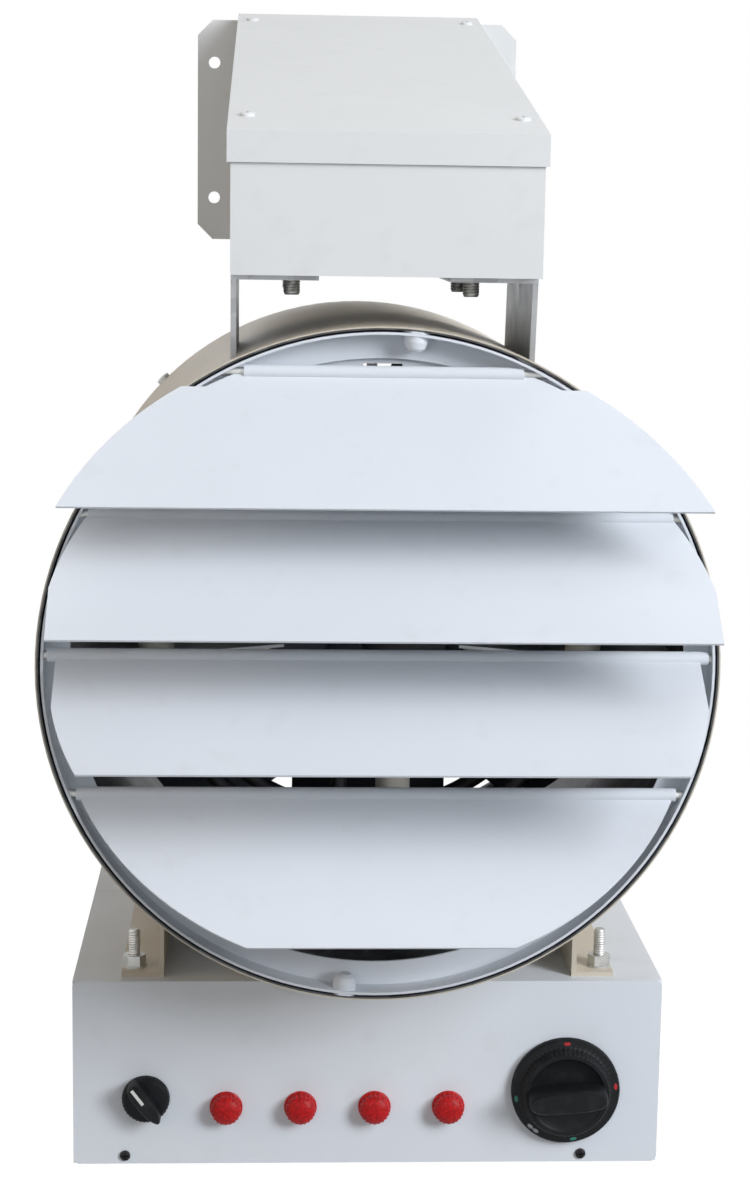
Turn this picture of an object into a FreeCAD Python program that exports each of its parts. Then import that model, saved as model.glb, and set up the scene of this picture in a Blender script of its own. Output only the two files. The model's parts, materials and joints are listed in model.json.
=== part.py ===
import FreeCAD, Part
import math
import os
import re

import Sketcher
from FreeCAD import Placement, Rotation, Vector

# Wall-hung round duct fan heater, in millimetres.
# The origin is the centre of the four wall holes, on the wall plane.
# +X is to the right seen from the room, +Y into the wall and +Z up, so the heater lies at negative Y.

# Driving dimensions
SIZES = {
    # Round air duct
    "duct_bore": 315, "duct_wall": 1.5, "duct_length": 310,
    # Front edge of the duct to the wall, and the duct axis below the wall holes
    "wall_distance": 377, "axis_drop": 258,
    # Louvre collar inside the mouth of the duct
    "collar_gap": 1, "collar_wall": 1.2, "collar_depth": 42,
    "collar_flange_setback": 12.5, "collar_flange_width": 11.3,
    "collar_bolt_dia": 6, "collar_bolt_head_dia": 11, "collar_bolt_head": 7,
    "collar_bolt_setback": 6, "collar_bolt_tilt": 5.4, "spacer_dia": 13,
    # Louvre blades on their rods; each leans from the vertical, lower edge forward
    "louvre_top": 137.7, "louvre_pitch": 65.7, "louvre_setback": 4,
    "louvre_angle_1": 40, "louvre_angle_2": 49, "louvre_angle_3": 55.5, "louvre_angle_4": 45,
    "blade_height": 74, "last_blade_height": 80, "blade_thick": 1.2, "blade_clearance": 3.3,
    "blade_length": 299, "blade_neck": 9, "top_blade_reach": 158.2,
    "rod_dia": 4, "hem_wall": 1.2, "hem_clearance": 0.05, "hem_end_gap": 1.5,
    # Fixed baffle above and behind the top blade's hem
    "baffle_setback": 16, "baffle_drop": 4, "baffle_lip": 10, "slit_width": 18, "slit_height": 7.6,
    # Tubular heating elements, the middle one smaller, and what carries them
    "element_dia": 8, "element_ring": 108, "inner_ring": 58, "element_pitch": 30, "fan_to_elements": 34,
    "element_leg": 14, "element_elbow": 14, "element_tail": 22, "bushing_dia": 13, "bushing_lip": 4,
    "support_thick": 1.5, "support_margin": 9, "support_lap": 14, "support_angle": 95,
    "sleeve_dia": 18, "sleeve_length": 16, "tail_sleeve_level": 84,
    # Axial fan and its motor
    "fan_tip_gap": 9, "fan_chord": 92, "fan_angle": 27, "fan_camber": 120, "fan_thick": 1.5,
    "fan_disc_dia": 74, "hub_dia": 30, "hub_length": 24, "shaft_dia": 8, "shaft_clearance": 0.05,
    "motor_dia": 92, "motor_length": 58, "motor_gap": 24, "motor_boss_dia": 34, "motor_boss": 6,
    "motor_clearance": 10, "shaft_end_gap": 3,
    "bracket_bar": 32, "bracket_thick": 3, "bracket_foot": 26,
    # Wire guard over the air inlet
    "guard_wire": 3, "guard_rim_wire": 4, "guard_inset": 6, "guard_pitch": 30,
    "clip_width": 12, "clip_depth": 16, "clip_height": 8, "clip_edge": 3, "guard_screw_dia": 4,
    "guard_screw_head": 8,
    # Overheat cut-out disc under the duct
    "cutout_dia": 18, "cutout_height": 9, "cutout_offset": 62, "cutout_setback": 170,
    # Control box under the duct
    "box_width": 296, "box_height": 96, "box_depth": 230, "box_setback": 59, "box_drop": 170,
    "box_sheet": 1.2, "panel_thick": 1.5, "panel_corner": 3, "base_lip": 16, "base_clearance": 0.3,
    # Saddles between control box and duct
    "saddle_reach": 104, "saddle_thick": 2.5, "saddle_foot": 20, "saddle_setback": 66,
    "saddle_length": 190, "saddle_flange": 24,
    "stud_dia": 6, "stud_height": 22, "stud_offset": 14, "stud_inset": 10, "nut_width": 10, "nut_height": 5,
    "washer_dia": 12, "washer_thick": 1.2,
    "rivet_dia": 4, "rivet_head_dia": 8, "rivet_head": 1.6, "rivet_inset": 30,
    # Controls on the front panel, from its sides, from the duct axis and from its lower edge
    "switch_edge": 36.5, "switch_height": 35, "switch_dia": 24, "switch_skirt": 4,
    "switch_bar_length": 26, "switch_bar_width": 8, "switch_bar_height": 12, "switch_turn": 53,
    "lamp_first": 71.2, "lamp_pitch": 37.4, "lamp_height": 30, "lamp_dia": 16.5, "lamp_proud": 9,
    "lamp_body_dia": 12, "lamp_body_length": 28,
    "dial_edge": 47.8, "dial_height": 39, "dial_dia": 55, "dial_skirt": 9, "dial_crown_dia": 46,
    "dial_bar_length": 44, "dial_bar_width": 13, "dial_bar_height": 11, "dial_turn": -4,
    "spindle_dia": 6, "spindle_clearance": 0.05, "spindle_depth": 16, "neck_dia": 12, "knob_gap": 0.6,
    "knob_bore_depth": 8, "switch_body": 30, "switch_body_depth": 34, "dial_body_dia": 42,
    "dial_body_depth": 26,
    "panel_screw_dia": 3, "panel_screw_head": 5.2, "panel_screw_rise": 4.5,
    "panel_screw_left_edge": 26, "panel_screw_right_edge": 39,
    # Electrical pieces inside the control box
    "terminal_width": 72, "terminal_depth": 26, "terminal_height": 22, "terminal_poles": 6,
    "terminal_inset": 46, "capacitor_dia": 34, "capacitor_length": 70, "capacitor_offset": 66,
    # Mains cable gland on the back of the control box
    "gland_bore": 11, "gland_thread": 20, "gland_hex": 24, "gland_collar": 7, "gland_nose": 14,
    "gland_inside": 8,
    "gland_edge": 52, "gland_rise": 34,
    # Wall plate and cantilever bracket box over the duct
    "plate_width": 192, "plate_height": 130, "plate_thick": 3, "plate_chamfer": 9,
    "wall_hole_x": 172, "wall_hole_z": 80, "wall_hole_dia": 7,
    "bracket_width": 140, "bracket_sheet": 2, "bracket_rise": 181.4, "bracket_overhang": 8,
    "bracket_front": 62.2, "bracket_slope": 12.1, "rail_width": 20,
    "lid_sheet": 1.5, "lid_lip": 14, "lid_clearance": 0.2, "lid_rear_gap": 1,
    "lid_screw_dia": 4, "lid_screw_head": 6.8, "lid_screw_cap": 1.8, "lid_screw_inset": 7,
    "lid_screw_front": 34, "lid_screw_rear": 30,
    # Hangers that carry the duct under the bracket box
    "hanger_thick": 2.5, "hanger_setback": 8, "hanger_length": 112, "hanger_slant": 20, "hanger_flange": 40,
    "hanger_bolt_dia": 8, "hanger_bolt_offset": 42, "hanger_bolt_tail": 10,
    "hanger_bolt_front": 32, "hanger_bolt_pitch": 72, "hanger_bolt_hex": 13, "hanger_bolt_head": 5.3,
}

# Sizes worked out from the driving dimensions
DERIVED = {
    "duct_radius": "duct_bore / 2 + duct_wall",
    "duct_front": "-wall_distance",
    "duct_rear": "duct_front + duct_length",
    "duct_axis": "-axis_drop",
    "collar_radius": "duct_bore / 2 - collar_gap",
    "collar_inner": "collar_radius - collar_wall",
    "blade_radius": "collar_inner - blade_clearance",
    "hem_radius": "rod_dia / 2 + hem_clearance + hem_wall",
    "pivot_y": "duct_front + louvre_setback",
    "baffle_low": "louvre_top - baffle_drop",
    "bolt_seat": "sqrt(collar_inner ^ 2 - (collar_bolt_head_dia / 2) ^ 2)",
    "tail_low": "-box_drop - element_tail",
    "guard_y": "duct_rear - guard_inset",
    "motor_rear": "guard_y - motor_clearance - bracket_thick",
    "motor_front": "motor_rear - motor_length",
    "hub_rear": "motor_front - motor_boss - motor_gap",
    "fan_y": "hub_rear - hub_length / 2",
    "fan_tip": "duct_bore / 2 - fan_tip_gap",
    "element_rear": "fan_y - fan_to_elements",
    "element_front": "element_rear - 2 * element_pitch",
    "support_front": "element_front - element_dia / 2 - support_margin",
    "support_rear": "element_rear + element_dia / 2 + support_margin",
    "guard_rim": "duct_bore / 2 - guard_rim_wire / 2",
    "box_top": "duct_axis - box_drop",
    "box_bottom": "box_top - box_height",
    "panel_y": "duct_front + box_setback",
    "panel_back": "panel_y + panel_thick",
    "box_rear": "panel_y + box_depth",
    "saddle_y": "duct_front + saddle_setback",
    "saddle_rear": "saddle_y + saddle_length",
    "stud_x": "saddle_reach + stud_offset",
    "saddle_rivet_x": "saddle_reach - saddle_flange / 2",
    "switch_offset": "box_width / 2 - switch_edge",
    "dial_offset": "box_width / 2 - dial_edge",
    "panel_screw_left": "box_width / 2 - panel_screw_left_edge",
    "panel_screw_right": "box_width / 2 - panel_screw_right_edge",
    "gland_offset": "box_width / 2 - gland_edge",
    "switch_z": "box_bottom + switch_height",
    "lamp_z": "box_bottom + lamp_height",
    "dial_z": "box_bottom + dial_height",
    "knob_back": "panel_y - knob_gap",
    "base_top": "box_bottom + box_sheet",
    "bracket_floor": "duct_axis + bracket_rise",
    "bracket_y": "duct_front - bracket_overhang",
    "bracket_rear": "-plate_thick",
    "bracket_lip_y": "bracket_y - lid_clearance - lid_sheet",
    "lid_rear": "bracket_rear - lid_rear_gap",
    "lid_skin": "lid_sheet / cos(bracket_slope)",
    "wall_low": "bracket_floor + bracket_front",
    "lid_top": "wall_low + lid_skin",
    "slope": "tan(bracket_slope)",
    "lid_half": "bracket_width / 2 + lid_clearance + lid_sheet",
    "rail_skin": "bracket_sheet / cos(bracket_slope)",
    "lid_screw_x": "bracket_width / 2 - lid_screw_inset",
    "lid_screw_y1": "bracket_y + lid_screw_front",
    "lid_screw_y2": "bracket_rear - lid_screw_rear",
    "hanger_outer": "bracket_width / 2",
    "hanger_y": "duct_front + hanger_setback",
    "hanger_bolt_y": "hanger_y + hanger_bolt_front",
}

# A cylinder stands along Z; these turn it along another axis
ALONG = {"x": Rotation(Vector(0, 1, 0), 90), "y": Rotation(Vector(1, 0, 0), -90), "z": Rotation()}

doc = FreeCAD.newDocument("WallHeater")
nodes = []


def make_sheet():
    """Keep every driving dimension in a spreadsheet cell that has its name."""
    cells = doc.addObject("Spreadsheet::Sheet", "Sizes")
    for row, (name, size) in enumerate(SIZES.items(), start=1):
        cells.set("A%d" % row, name)
        cells.set("B%d" % row, str(size))
        cells.setAlias("B%d" % row, name)
    doc.recompute()
    return cells


sheet = make_sheet()


def formula(text):
    """Spell out a formula in size names as an expression on the sheet's cells."""
    def spell(match):
        word = match.group(0)
        if word in DERIVED:
            return "(" + formula(DERIVED[word]) + ")"
        return "Sizes." + word if word in SIZES else word
    return re.sub(r"[a-z_][a-z0-9_]*", spell, str(text))


def value(text):
    """Number that a formula gives now."""
    return float(sheet.evalExpression(formula(text)))


def bind(thing, **formulas):
    """Bind properties of an object to formulas."""
    for name, text in formulas.items():
        thing.setExpression(name, formula(text))
    return thing


def place(thing, x="0", y="0", z="0"):
    """Bind the place of an object's own origin."""
    for letter, text in zip("xyz", (x, y, z)):
        thing.setExpression("Placement.Base." + letter, formula(text))
    return thing


def turn(thing, axis, angle):
    """Bind the turn of an object about an axis through its own origin, in degrees."""
    thing.Placement.Rotation = Rotation(axis, 1)
    thing.setExpression("Placement.Rotation.Angle", formula(angle))
    return thing


def node(thing):
    """Hand an object in as one named piece of the heater."""
    nodes.append(thing)
    return thing


def block(name, x, y, z):
    """Box between pairs of formulas along X, Y and Z."""
    box = doc.addObject("Part::Box", name)
    bind(box, **{side: "(%s) - (%s)" % (high, low)
                 for side, (low, high) in zip(("Length", "Width", "Height"), (x, y, z))})
    return place(box, x[0], y[0], z[0])


def rod(name, along, radius, span, x="0", y="0", z="0"):
    """Cylinder along one axis between the two formulas of its span."""
    start = {"x": x, "y": y, "z": z}
    start[along] = span[0]
    cylinder = doc.addObject("Part::Cylinder", name)
    bind(cylinder, Radius=radius, Height="(%s) - (%s)" % (span[1], span[0]))
    cylinder.Placement.Rotation = ALONG[along]
    return place(cylinder, **start)


def hexagon(name, along, width, span, x="0", y="0", z="0"):
    """Six-sided prism, its width given across the flats."""
    start = {"x": x, "y": y, "z": z}
    start[along] = span[0]
    prism = doc.addObject("Part::Prism", name)
    prism.Polygon = 6
    bind(prism, Circumradius="(%s) / sqrt(3)" % width, Height="(%s) - (%s)" % (span[1], span[0]))
    prism.Placement.Rotation = ALONG[along]
    return place(prism, **start)


def ring(name, radius, wire, y, z="duct_axis"):
    """Round wire ring about an axis along Y."""
    torus = doc.addObject("Part::Torus", name)
    bind(torus, Radius1=radius, Radius2="(%s) / 2" % wire)
    torus.Placement.Rotation = ALONG["y"]
    return place(torus, y=y, z=z)


def fuse(name, *pieces):
    """One solid out of several."""
    joined = doc.addObject("Part::MultiFuse", name)
    joined.Shapes = list(pieces)
    joined.Refine = True
    return joined


def common(name, *pieces):
    """What several solids share."""
    shared = doc.addObject("Part::MultiCommon", name)
    shared.Shapes = list(pieces)
    return shared


def group(name, *pieces):
    """Separate solids that share one piece's name."""
    together = doc.addObject("Part::Compound", name)
    together.Links = list(pieces)
    return together


def cut(name, base, *tools):
    """A solid less others."""
    less = doc.addObject("Part::Cut", name)
    less.Base = base
    less.Tool = tools[0] if len(tools) == 1 else group(name + "_tools", *tools)
    return less


def tube(name, outer, inner, span, z="duct_axis"):
    """Round wall about an axis along Y."""
    return cut(name, rod(name + "_outside", "y", outer, span, z=z),
               rod(name + "_inside", "y", inner, span, z=z))


def about_duct(name, thing, angle):
    """Turn a piece drawn about the origin's Y axis to its angle round the duct, clockwise from the top."""
    turned = group(name, thing)
    place(turned, z="duct_axis")
    return turn(turned, Vector(0, 1, 0), angle)


def sketch_on(body, name, plane):
    """Sketch on one of the body's own origin planes."""
    sketch = body.newObject("Sketcher::SketchObject", name)
    support = next(feature for feature in body.Origin.OriginFeatures if feature.Role == plane)
    sketch.AttachmentSupport = [(support, "")]
    sketch.MapMode = "FlatFace"
    return sketch


def fix(sketch, kind, line, text, point=1):
    """Fix the start of a line, or another of its points, at a formula's distance from the sketch's origin."""
    if str(text) == "0":
        sketch.addConstraint(Sketcher.Constraint("PointOnObject", line, point,
                                                 -2 if kind == "DistanceX" else -1))
        return
    index = sketch.addConstraint(Sketcher.Constraint(kind, -1, 1, line, point, value(text)))
    sketch.setExpression("Constraints[%d]" % index, formula(text))


def outline(sketch, corners):
    """Closed outline of straight lines with each corner at a pair of formulas."""
    points = [Vector(value(across), value(up), 0) for across, up in corners]
    count = len(points)
    first = sketch.GeometryCount
    for number in range(count):
        sketch.addGeometry(Part.LineSegment(points[number], points[(number + 1) % count]))
    for number in range(count):
        after = first + (number + 1) % count
        sketch.addConstraint(Sketcher.Constraint("Coincident", first + number, 2, after, 1))
    for number, (across, up) in enumerate(corners, start=first):
        fix(sketch, "DistanceX", number, across)
        fix(sketch, "DistanceY", number, up)
    return sketch


def hole(sketch, radius, across, up):
    """Round outline with its centre at a pair of formulas."""
    centre = Vector(value(across), value(up), 0)
    line = sketch.addGeometry(Part.Circle(centre, Vector(0, 0, 1), value(radius)))
    index = sketch.addConstraint(Sketcher.Constraint("Radius", line, value(radius)))
    sketch.setExpression("Constraints[%d]" % index, formula(radius))
    fix(sketch, "DistanceX", line, across, 3)
    fix(sketch, "DistanceY", line, up, 3)
    return sketch


def grow(body, kind, name, sketch, length, middle=False, back=False):
    """Pad or pocket of a sketch: both ways from its plane, or along or against its normal."""
    feature = body.newObject("PartDesign::" + kind, name)
    feature.Profile = sketch
    feature.Midplane = middle
    feature.Reversed = back
    return bind(feature, Length=length)


def turned(name, profile, along, x="0", y="0", z="0"):
    """Turned piece: its profile holds pairs of distance along the axis and radius, revolved once."""
    body = doc.addObject("PartDesign::Body", name)
    sketch = outline(sketch_on(body, name + "_profile", "XZ_Plane"),
                     [(radius, reach) for reach, radius in profile])
    lathe = body.newObject("PartDesign::Revolution", name + "_turn")
    lathe.Profile = sketch
    lathe.ReferenceAxis = (sketch, ["V_Axis"])
    lathe.Angle = 360
    body.Placement.Rotation = ALONG[along]
    return place(body, x, y, z)


def make_collar_bolts():
    """Two dome-headed bolts across the collar's mouth, each with a spacer in the gap to the duct."""
    bolts, spacers, holes = [], [], []
    for number, angle in enumerate(("collar_bolt_tilt", "collar_bolt_tilt + 180"), start=1):
        name = "collar_bolt_%d" % number
        bolt = turned(name, [
            ("bolt_seat - collar_bolt_head", "0"),
            ("bolt_seat - collar_bolt_head", "collar_bolt_head_dia / 4"),
            ("bolt_seat - collar_bolt_head * 0.8", "collar_bolt_head_dia * 0.4"),
            ("bolt_seat - collar_bolt_head * 0.4", "collar_bolt_head_dia / 2"),
            ("bolt_seat", "collar_bolt_head_dia / 2"),
            ("bolt_seat", "collar_bolt_dia / 2"),
            ("duct_radius", "collar_bolt_dia / 2"),
            ("duct_radius", "0"),
        ], "z", y="duct_front + collar_bolt_setback")
        spacer = cut(name + "_spacer_raw",
                     rod(name + "_spacer_disc", "z", "spacer_dia / 2", ("0", "duct_bore / 2"),
                         y="duct_front + collar_bolt_setback"),
                     rod(name + "_spacer_hole", "z", "collar_bolt_dia / 2", ("0", "duct_bore / 2"),
                         y="duct_front + collar_bolt_setback"),
                     rod(name + "_spacer_seat", "y", "collar_radius",
                         ("duct_front", "duct_front + collar_depth")))
        fitted = common(name + "_spacer_fit", spacer,
                        rod(name + "_spacer_reach", "y", "duct_bore / 2",
                            ("duct_front", "duct_front + collar_depth")))
        bored = rod(name + "_hole_raw", "z", "collar_bolt_dia / 2", ("0", "duct_radius + duct_wall"),
                    y="duct_front + collar_bolt_setback")
        bolts.append(about_duct(name + "_turned", bolt, angle))
        spacers.append(about_duct(name + "_spacer", fitted, angle))
        holes.append(about_duct(name + "_hole", bored, angle))
    node(group("collar_bolts", *bolts))
    node(group("collar_spacers", *spacers))
    return holes


def pivot_height(number):
    """Height of a louvre's rod above the duct axis, counted from the top."""
    return "(louvre_top - %d * louvre_pitch)" % (number - 1)


def make_louvre(number):
    """One blade, rolled round its rod along the top edge, and the rod across the collar."""
    height = pivot_height(number)
    depth = ("duct_front", "duct_front + collar_depth")
    bar = rod("louvre_rod_%d_bar" % number, "x", "rod_dia / 2", ("-duct_radius", "duct_radius"),
              y="pivot_y", z="duct_axis + " + height)
    node(common("louvre_rod_%d" % number, bar,
                rod("louvre_rod_%d_reach" % number, "y", "collar_radius", depth, z="duct_axis")))
    name = "louvre_blade_%d" % number
    drop = "last_blade_height" if number == LOUVRES else "blade_height"
    reach = "top_blade_reach" if number == 1 else "blade_radius"
    span = ("-blade_length / 2", "blade_length / 2")
    thick = ("-blade_thick / 2", "blade_thick / 2")
    sides = ("-blade_thick", "blade_thick")
    neck = common(name + "_neck", block(name + "_neck_sheet", span, thick, ("-blade_neck", "0")),
                  rod(name + "_neck_mouth", "y", "blade_radius", sides, z="-" + height))
    sheet_metal = common(name + "_plate", block(name + "_sheet", span, thick, ("-" + drop, "-blade_neck")),
                         rod(name + "_mouth", "y", reach, sides, z="-" + height))
    end = "(sqrt(collar_inner ^ 2 - (abs(%s) + hem_radius) ^ 2) - hem_end_gap)" % height
    hem = rod(name + "_hem", "x", "hem_radius", ("-" + end, end))
    blade = cut(name, fuse(name + "_rolled", neck, sheet_metal, hem),
                rod(name + "_bore", "x", "rod_dia / 2 + hem_clearance", ("-duct_radius", "duct_radius")))
    place(blade, y="pivot_y", z="duct_axis + " + height)
    node(turn(blade, Vector(-1, 0, 0), "louvre_angle_%d" % number))
    return bar


def make_collar(rods, bolt_holes):
    """Flanged ring in the duct's mouth for the louvre rods, and the fixed baffle over the top blade."""
    depth = ("duct_front", "duct_front + collar_depth")
    wall = tube("collar_wall_ring", "collar_radius", "collar_inner", depth)
    step = "duct_front + collar_flange_setback"
    flange = tube("collar_flange", "collar_radius", "collar_inner - collar_flange_width",
                  (step, step + " + collar_wall"))
    node(cut("louvre_collar", fuse("collar_section", wall, flange), *rods, *bolt_holes))
    back = ("duct_front + baffle_setback", "duct_front + baffle_setback + baffle_lip")
    above = ("duct_axis + baffle_low", "duct_axis + collar_inner")
    wide = ("-collar_inner", "collar_inner")
    face = block("baffle_face", wide, (back[0], back[0] + " + blade_thick"), above)
    disc = rod("baffle_disc", "y", "collar_inner", back, z="duct_axis")
    lip = common("baffle_rim", tube("baffle_lip_ring", "collar_inner", "collar_inner - blade_thick", back),
                 block("baffle_lip_part", wide, back, above))
    slit = block("baffle_slit", ("-slit_width / 2", "slit_width / 2"), back,
                 ("duct_axis + baffle_low - slit_height", "duct_axis + baffle_low + slit_height"))
    node(cut("top_baffle", fuse("baffle_body", common("baffle_segment", face, disc), lip), slit))


def bent_tube(name, radius, y):
    """Open ring of tube with two straight tails: an arc, two elbows and two lines, piped once."""
    body = doc.addObject("PartDesign::Body", name)
    path = sketch_on(body, name + "_path", "XZ_Plane")
    normal, centre = Vector(0, 0, 1), Vector(0, 0, 0)
    leg, low, side = value("element_leg"), value("tail_low"), value("element_leg + element_elbow")
    drop = value("sqrt((%s + element_elbow) ^ 2 - (element_leg + element_elbow) ^ 2)" % radius)
    lean = math.atan2(drop, side)
    ring_arc = path.addGeometry(Part.ArcOfCircle(Part.Circle(centre, normal, value(radius)), -lean,
                                                 math.pi + lean))
    elbows, tails = [], []
    for sign, start, end in ((1, math.pi - lean, math.pi), (-1, 0, lean)):
        circle = Part.Circle(Vector(sign * side, -drop, 0), normal, value("element_elbow"))
        elbows.append(path.addGeometry(Part.ArcOfCircle(circle, start, end)))
        tails.append(path.addGeometry(Part.LineSegment(Vector(sign * leg, low, 0),
                                                       Vector(sign * leg, -drop, 0))))
    path.addConstraint(Sketcher.Constraint("Coincident", ring_arc, 3, -1, 1))
    for line, text in ((ring_arc, radius), (elbows[0], "element_elbow"), (elbows[1], "element_elbow")):
        index = path.addConstraint(Sketcher.Constraint("Radius", line, value(text)))
        path.setExpression("Constraints[%d]" % index, formula(text))
    for line, text in zip(tails, ("element_leg", "-element_leg")):
        path.addConstraint(Sketcher.Constraint("Vertical", line))
        fix(path, "DistanceX", line, text)
        fix(path, "DistanceY", line, "tail_low")
    path.addConstraint(Sketcher.Constraint("Tangent", ring_arc, 1, elbows[0], 1))
    path.addConstraint(Sketcher.Constraint("Tangent", elbows[0], 2, tails[0], 2))
    path.addConstraint(Sketcher.Constraint("Tangent", ring_arc, 2, elbows[1], 2))
    path.addConstraint(Sketcher.Constraint("Tangent", elbows[1], 1, tails[1], 2))
    section = sketch_on(body, name + "_section", "XY_Plane")
    section.setExpression("AttachmentOffset.Base.z", formula("tail_low"))
    hole(section, "element_dia / 2", "element_leg", "0")
    pipe = body.newObject("PartDesign::AdditivePipe", name + "_pipe")
    pipe.Profile = section
    pipe.Spine = path
    return place(body, y=y, z="duct_axis")


def tail_sleeve(name, along, size, span, x, y):
    """Ceramic sleeve round a straight tail, and the solid that its seat has to clear."""
    outside = rod(name + "_outside", along, size, span, x=x, y=y)
    inside = rod(name + "_inside", along, "element_dia / 2", span, x=x, y=y)
    return cut(name, outside, inside), outside


def make_elements():
    """Ring elements one behind the other, with their tails through bushings into the control box."""
    holes, bushings, insulators, seats = [], [], [], []
    for number in range(1, ELEMENTS + 1):
        name = "heating_element_%d" % number
        y = "element_front + %d * element_pitch" % (number - 1)
        radius = "inner_ring" if number == 2 else "element_ring"
        node(bent_tube(name, radius, y))
        seats.append((radius, y))
        for side in ("left", "right"):
            x = "element_leg" if side == "right" else "-element_leg"
            span = ("box_top - box_sheet - bushing_lip", "duct_axis - duct_bore / 2 + bushing_lip")
            bushing, outside = tail_sleeve("%s_bushing_%s" % (name, side), "z", "bushing_dia / 2", span, x, y)
            bushings.append(bushing)
            holes.append(outside)
            if number == 2 and side == "right":
                middle = "duct_axis - tail_sleeve_level"
                span = (middle + " - sleeve_length / 2", middle + " + sleeve_length / 2")
                insulators.append(tail_sleeve("tail_insulator", "z", "sleeve_dia / 2", span, x, y)[0])
    node(group("element_bushings", *bushings))
    supports = []
    reach = ("support_front", "support_rear")
    for number, angle in enumerate(("0", "support_angle", "-support_angle"), start=1):
        name = "element_support_%d" % number
        strip = block(name + "_strip", ("-support_thick / 2", "support_thick / 2"), reach,
                      ("inner_ring - support_lap", "duct_bore / 2"))
        seated = common(name + "_seated", strip, rod(name + "_reach", "y", "duct_bore / 2", reach))
        sleeves = []
        for place_number, (radius, y) in enumerate(seats, start=1):
            sleeve = "%s_sleeve_%d" % (name, place_number)
            outside = rod(sleeve + "_outside", "x", "sleeve_dia / 2",
                          ("-sleeve_length / 2", "sleeve_length / 2"),
                          y=y, z=radius)
            tunnel = ring(sleeve + "_tunnel", radius, "element_dia", y, z="0")
            insulators.append(about_duct(sleeve + "_set", cut(sleeve, outside, tunnel), angle))
            sleeves.append(outside)
        supports.append(about_duct(name, cut(name + "_holed", seated, *sleeves), angle))
    node(group("element_supports", *supports))
    node(group("element_insulators", *insulators))
    return holes


def make_fan():
    """Fan with cambered blades on its hub and shaft, with the motor behind it on a bar across the duct."""
    node(turned("motor_shaft", [("0", "0"), ("0", "shaft_dia / 2"),
                                ("hub_length + motor_gap + motor_boss + motor_length / 2", "shaft_dia / 2"),
                                ("hub_length + motor_gap + motor_boss + motor_length / 2", "0")],
                "y", y="fan_y - hub_length / 2", z="duct_axis"))
    node(turned("fan_hub",
                [("0", "shaft_dia / 2"), ("0", "hub_dia * 0.4"), ("hub_length * 0.2", "hub_dia / 2"),
                            ("hub_length", "hub_dia / 2"), ("hub_length", "shaft_dia / 2")],
                "y", y="fan_y - hub_length / 2", z="duct_axis"))
    spread = ("-fan_chord", "fan_chord")
    half = ("-fan_chord / 2", "fan_chord / 2")
    blades = []
    for number in range(FAN_BLADES):
        name = "fan_blade_%d" % (number + 1)
        long = ("hub_dia / 2", "fan_tip")
        shell = cut(name + "_shell",
                    rod(name + "_outside", "z", "fan_camber + fan_thick", long, y="fan_camber"),
                    rod(name + "_inside", "z", "fan_camber", long, y="fan_camber"))
        sheet_metal = common(name + "_sheet", shell,
                             block(name + "_chord", half, ("-fan_chord / 2", "fan_chord / 2"), long))
        raked = turn(group(name + "_raked", sheet_metal), Vector(0, 0, 1), "fan_angle")
        swept = common(name + "_swept", raked, rod(name + "_reach", "y", "fan_tip", spread))
        spot = about_duct(name, swept, str(360 * (number + 0.5) / FAN_BLADES))
        place(spot, y="fan_y", z="duct_axis")
        blades.append(spot)
    disc = rod("fan_disc", "y", "fan_disc_dia / 2", ("fan_y - fan_thick", "fan_y + fan_thick"), z="duct_axis")
    bore = rod("fan_bore", "y", "hub_dia / 2", ("fan_y - fan_chord", "fan_y + fan_chord"), z="duct_axis")
    node(cut("fan_impeller", fuse("fan_spider", disc, *blades), bore))
    node(turned("motor_body", [
        ("-motor_boss", "shaft_dia / 2 + shaft_clearance"), ("-motor_boss", "motor_boss_dia / 2"),
        ("0", "motor_boss_dia / 2"), ("0", "motor_dia * 0.42"), ("motor_length * 0.12", "motor_dia / 2"),
        ("motor_length * 0.88", "motor_dia / 2"), ("motor_length", "motor_dia * 0.42"), ("motor_length", "0"),
        ("motor_length / 2 + shaft_end_gap", "0"),
        ("motor_length / 2 + shaft_end_gap", "shaft_dia / 2 + shaft_clearance"),
    ], "y", y="motor_front", z="duct_axis"))
    half = ("duct_axis - bracket_bar / 2", "duct_axis + bracket_bar / 2")
    depth = ("motor_rear", "motor_rear + bracket_thick")
    wide = ("-duct_bore / 2", "duct_bore / 2")
    foot_depth = ("motor_rear + bracket_thick - bracket_foot", depth[1])
    bar = common("motor_bar", block("motor_bar_strip", wide, depth, half),
                 rod("motor_bar_reach", "y", "duct_bore / 2", depth, z="duct_axis"))
    feet = common("motor_feet",
                  tube("motor_foot_ring", "duct_bore / 2", "duct_bore / 2 - bracket_thick", foot_depth),
                  block("motor_foot_strip", wide, foot_depth, half))
    node(fuse("motor_bracket", bar, feet))


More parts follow.
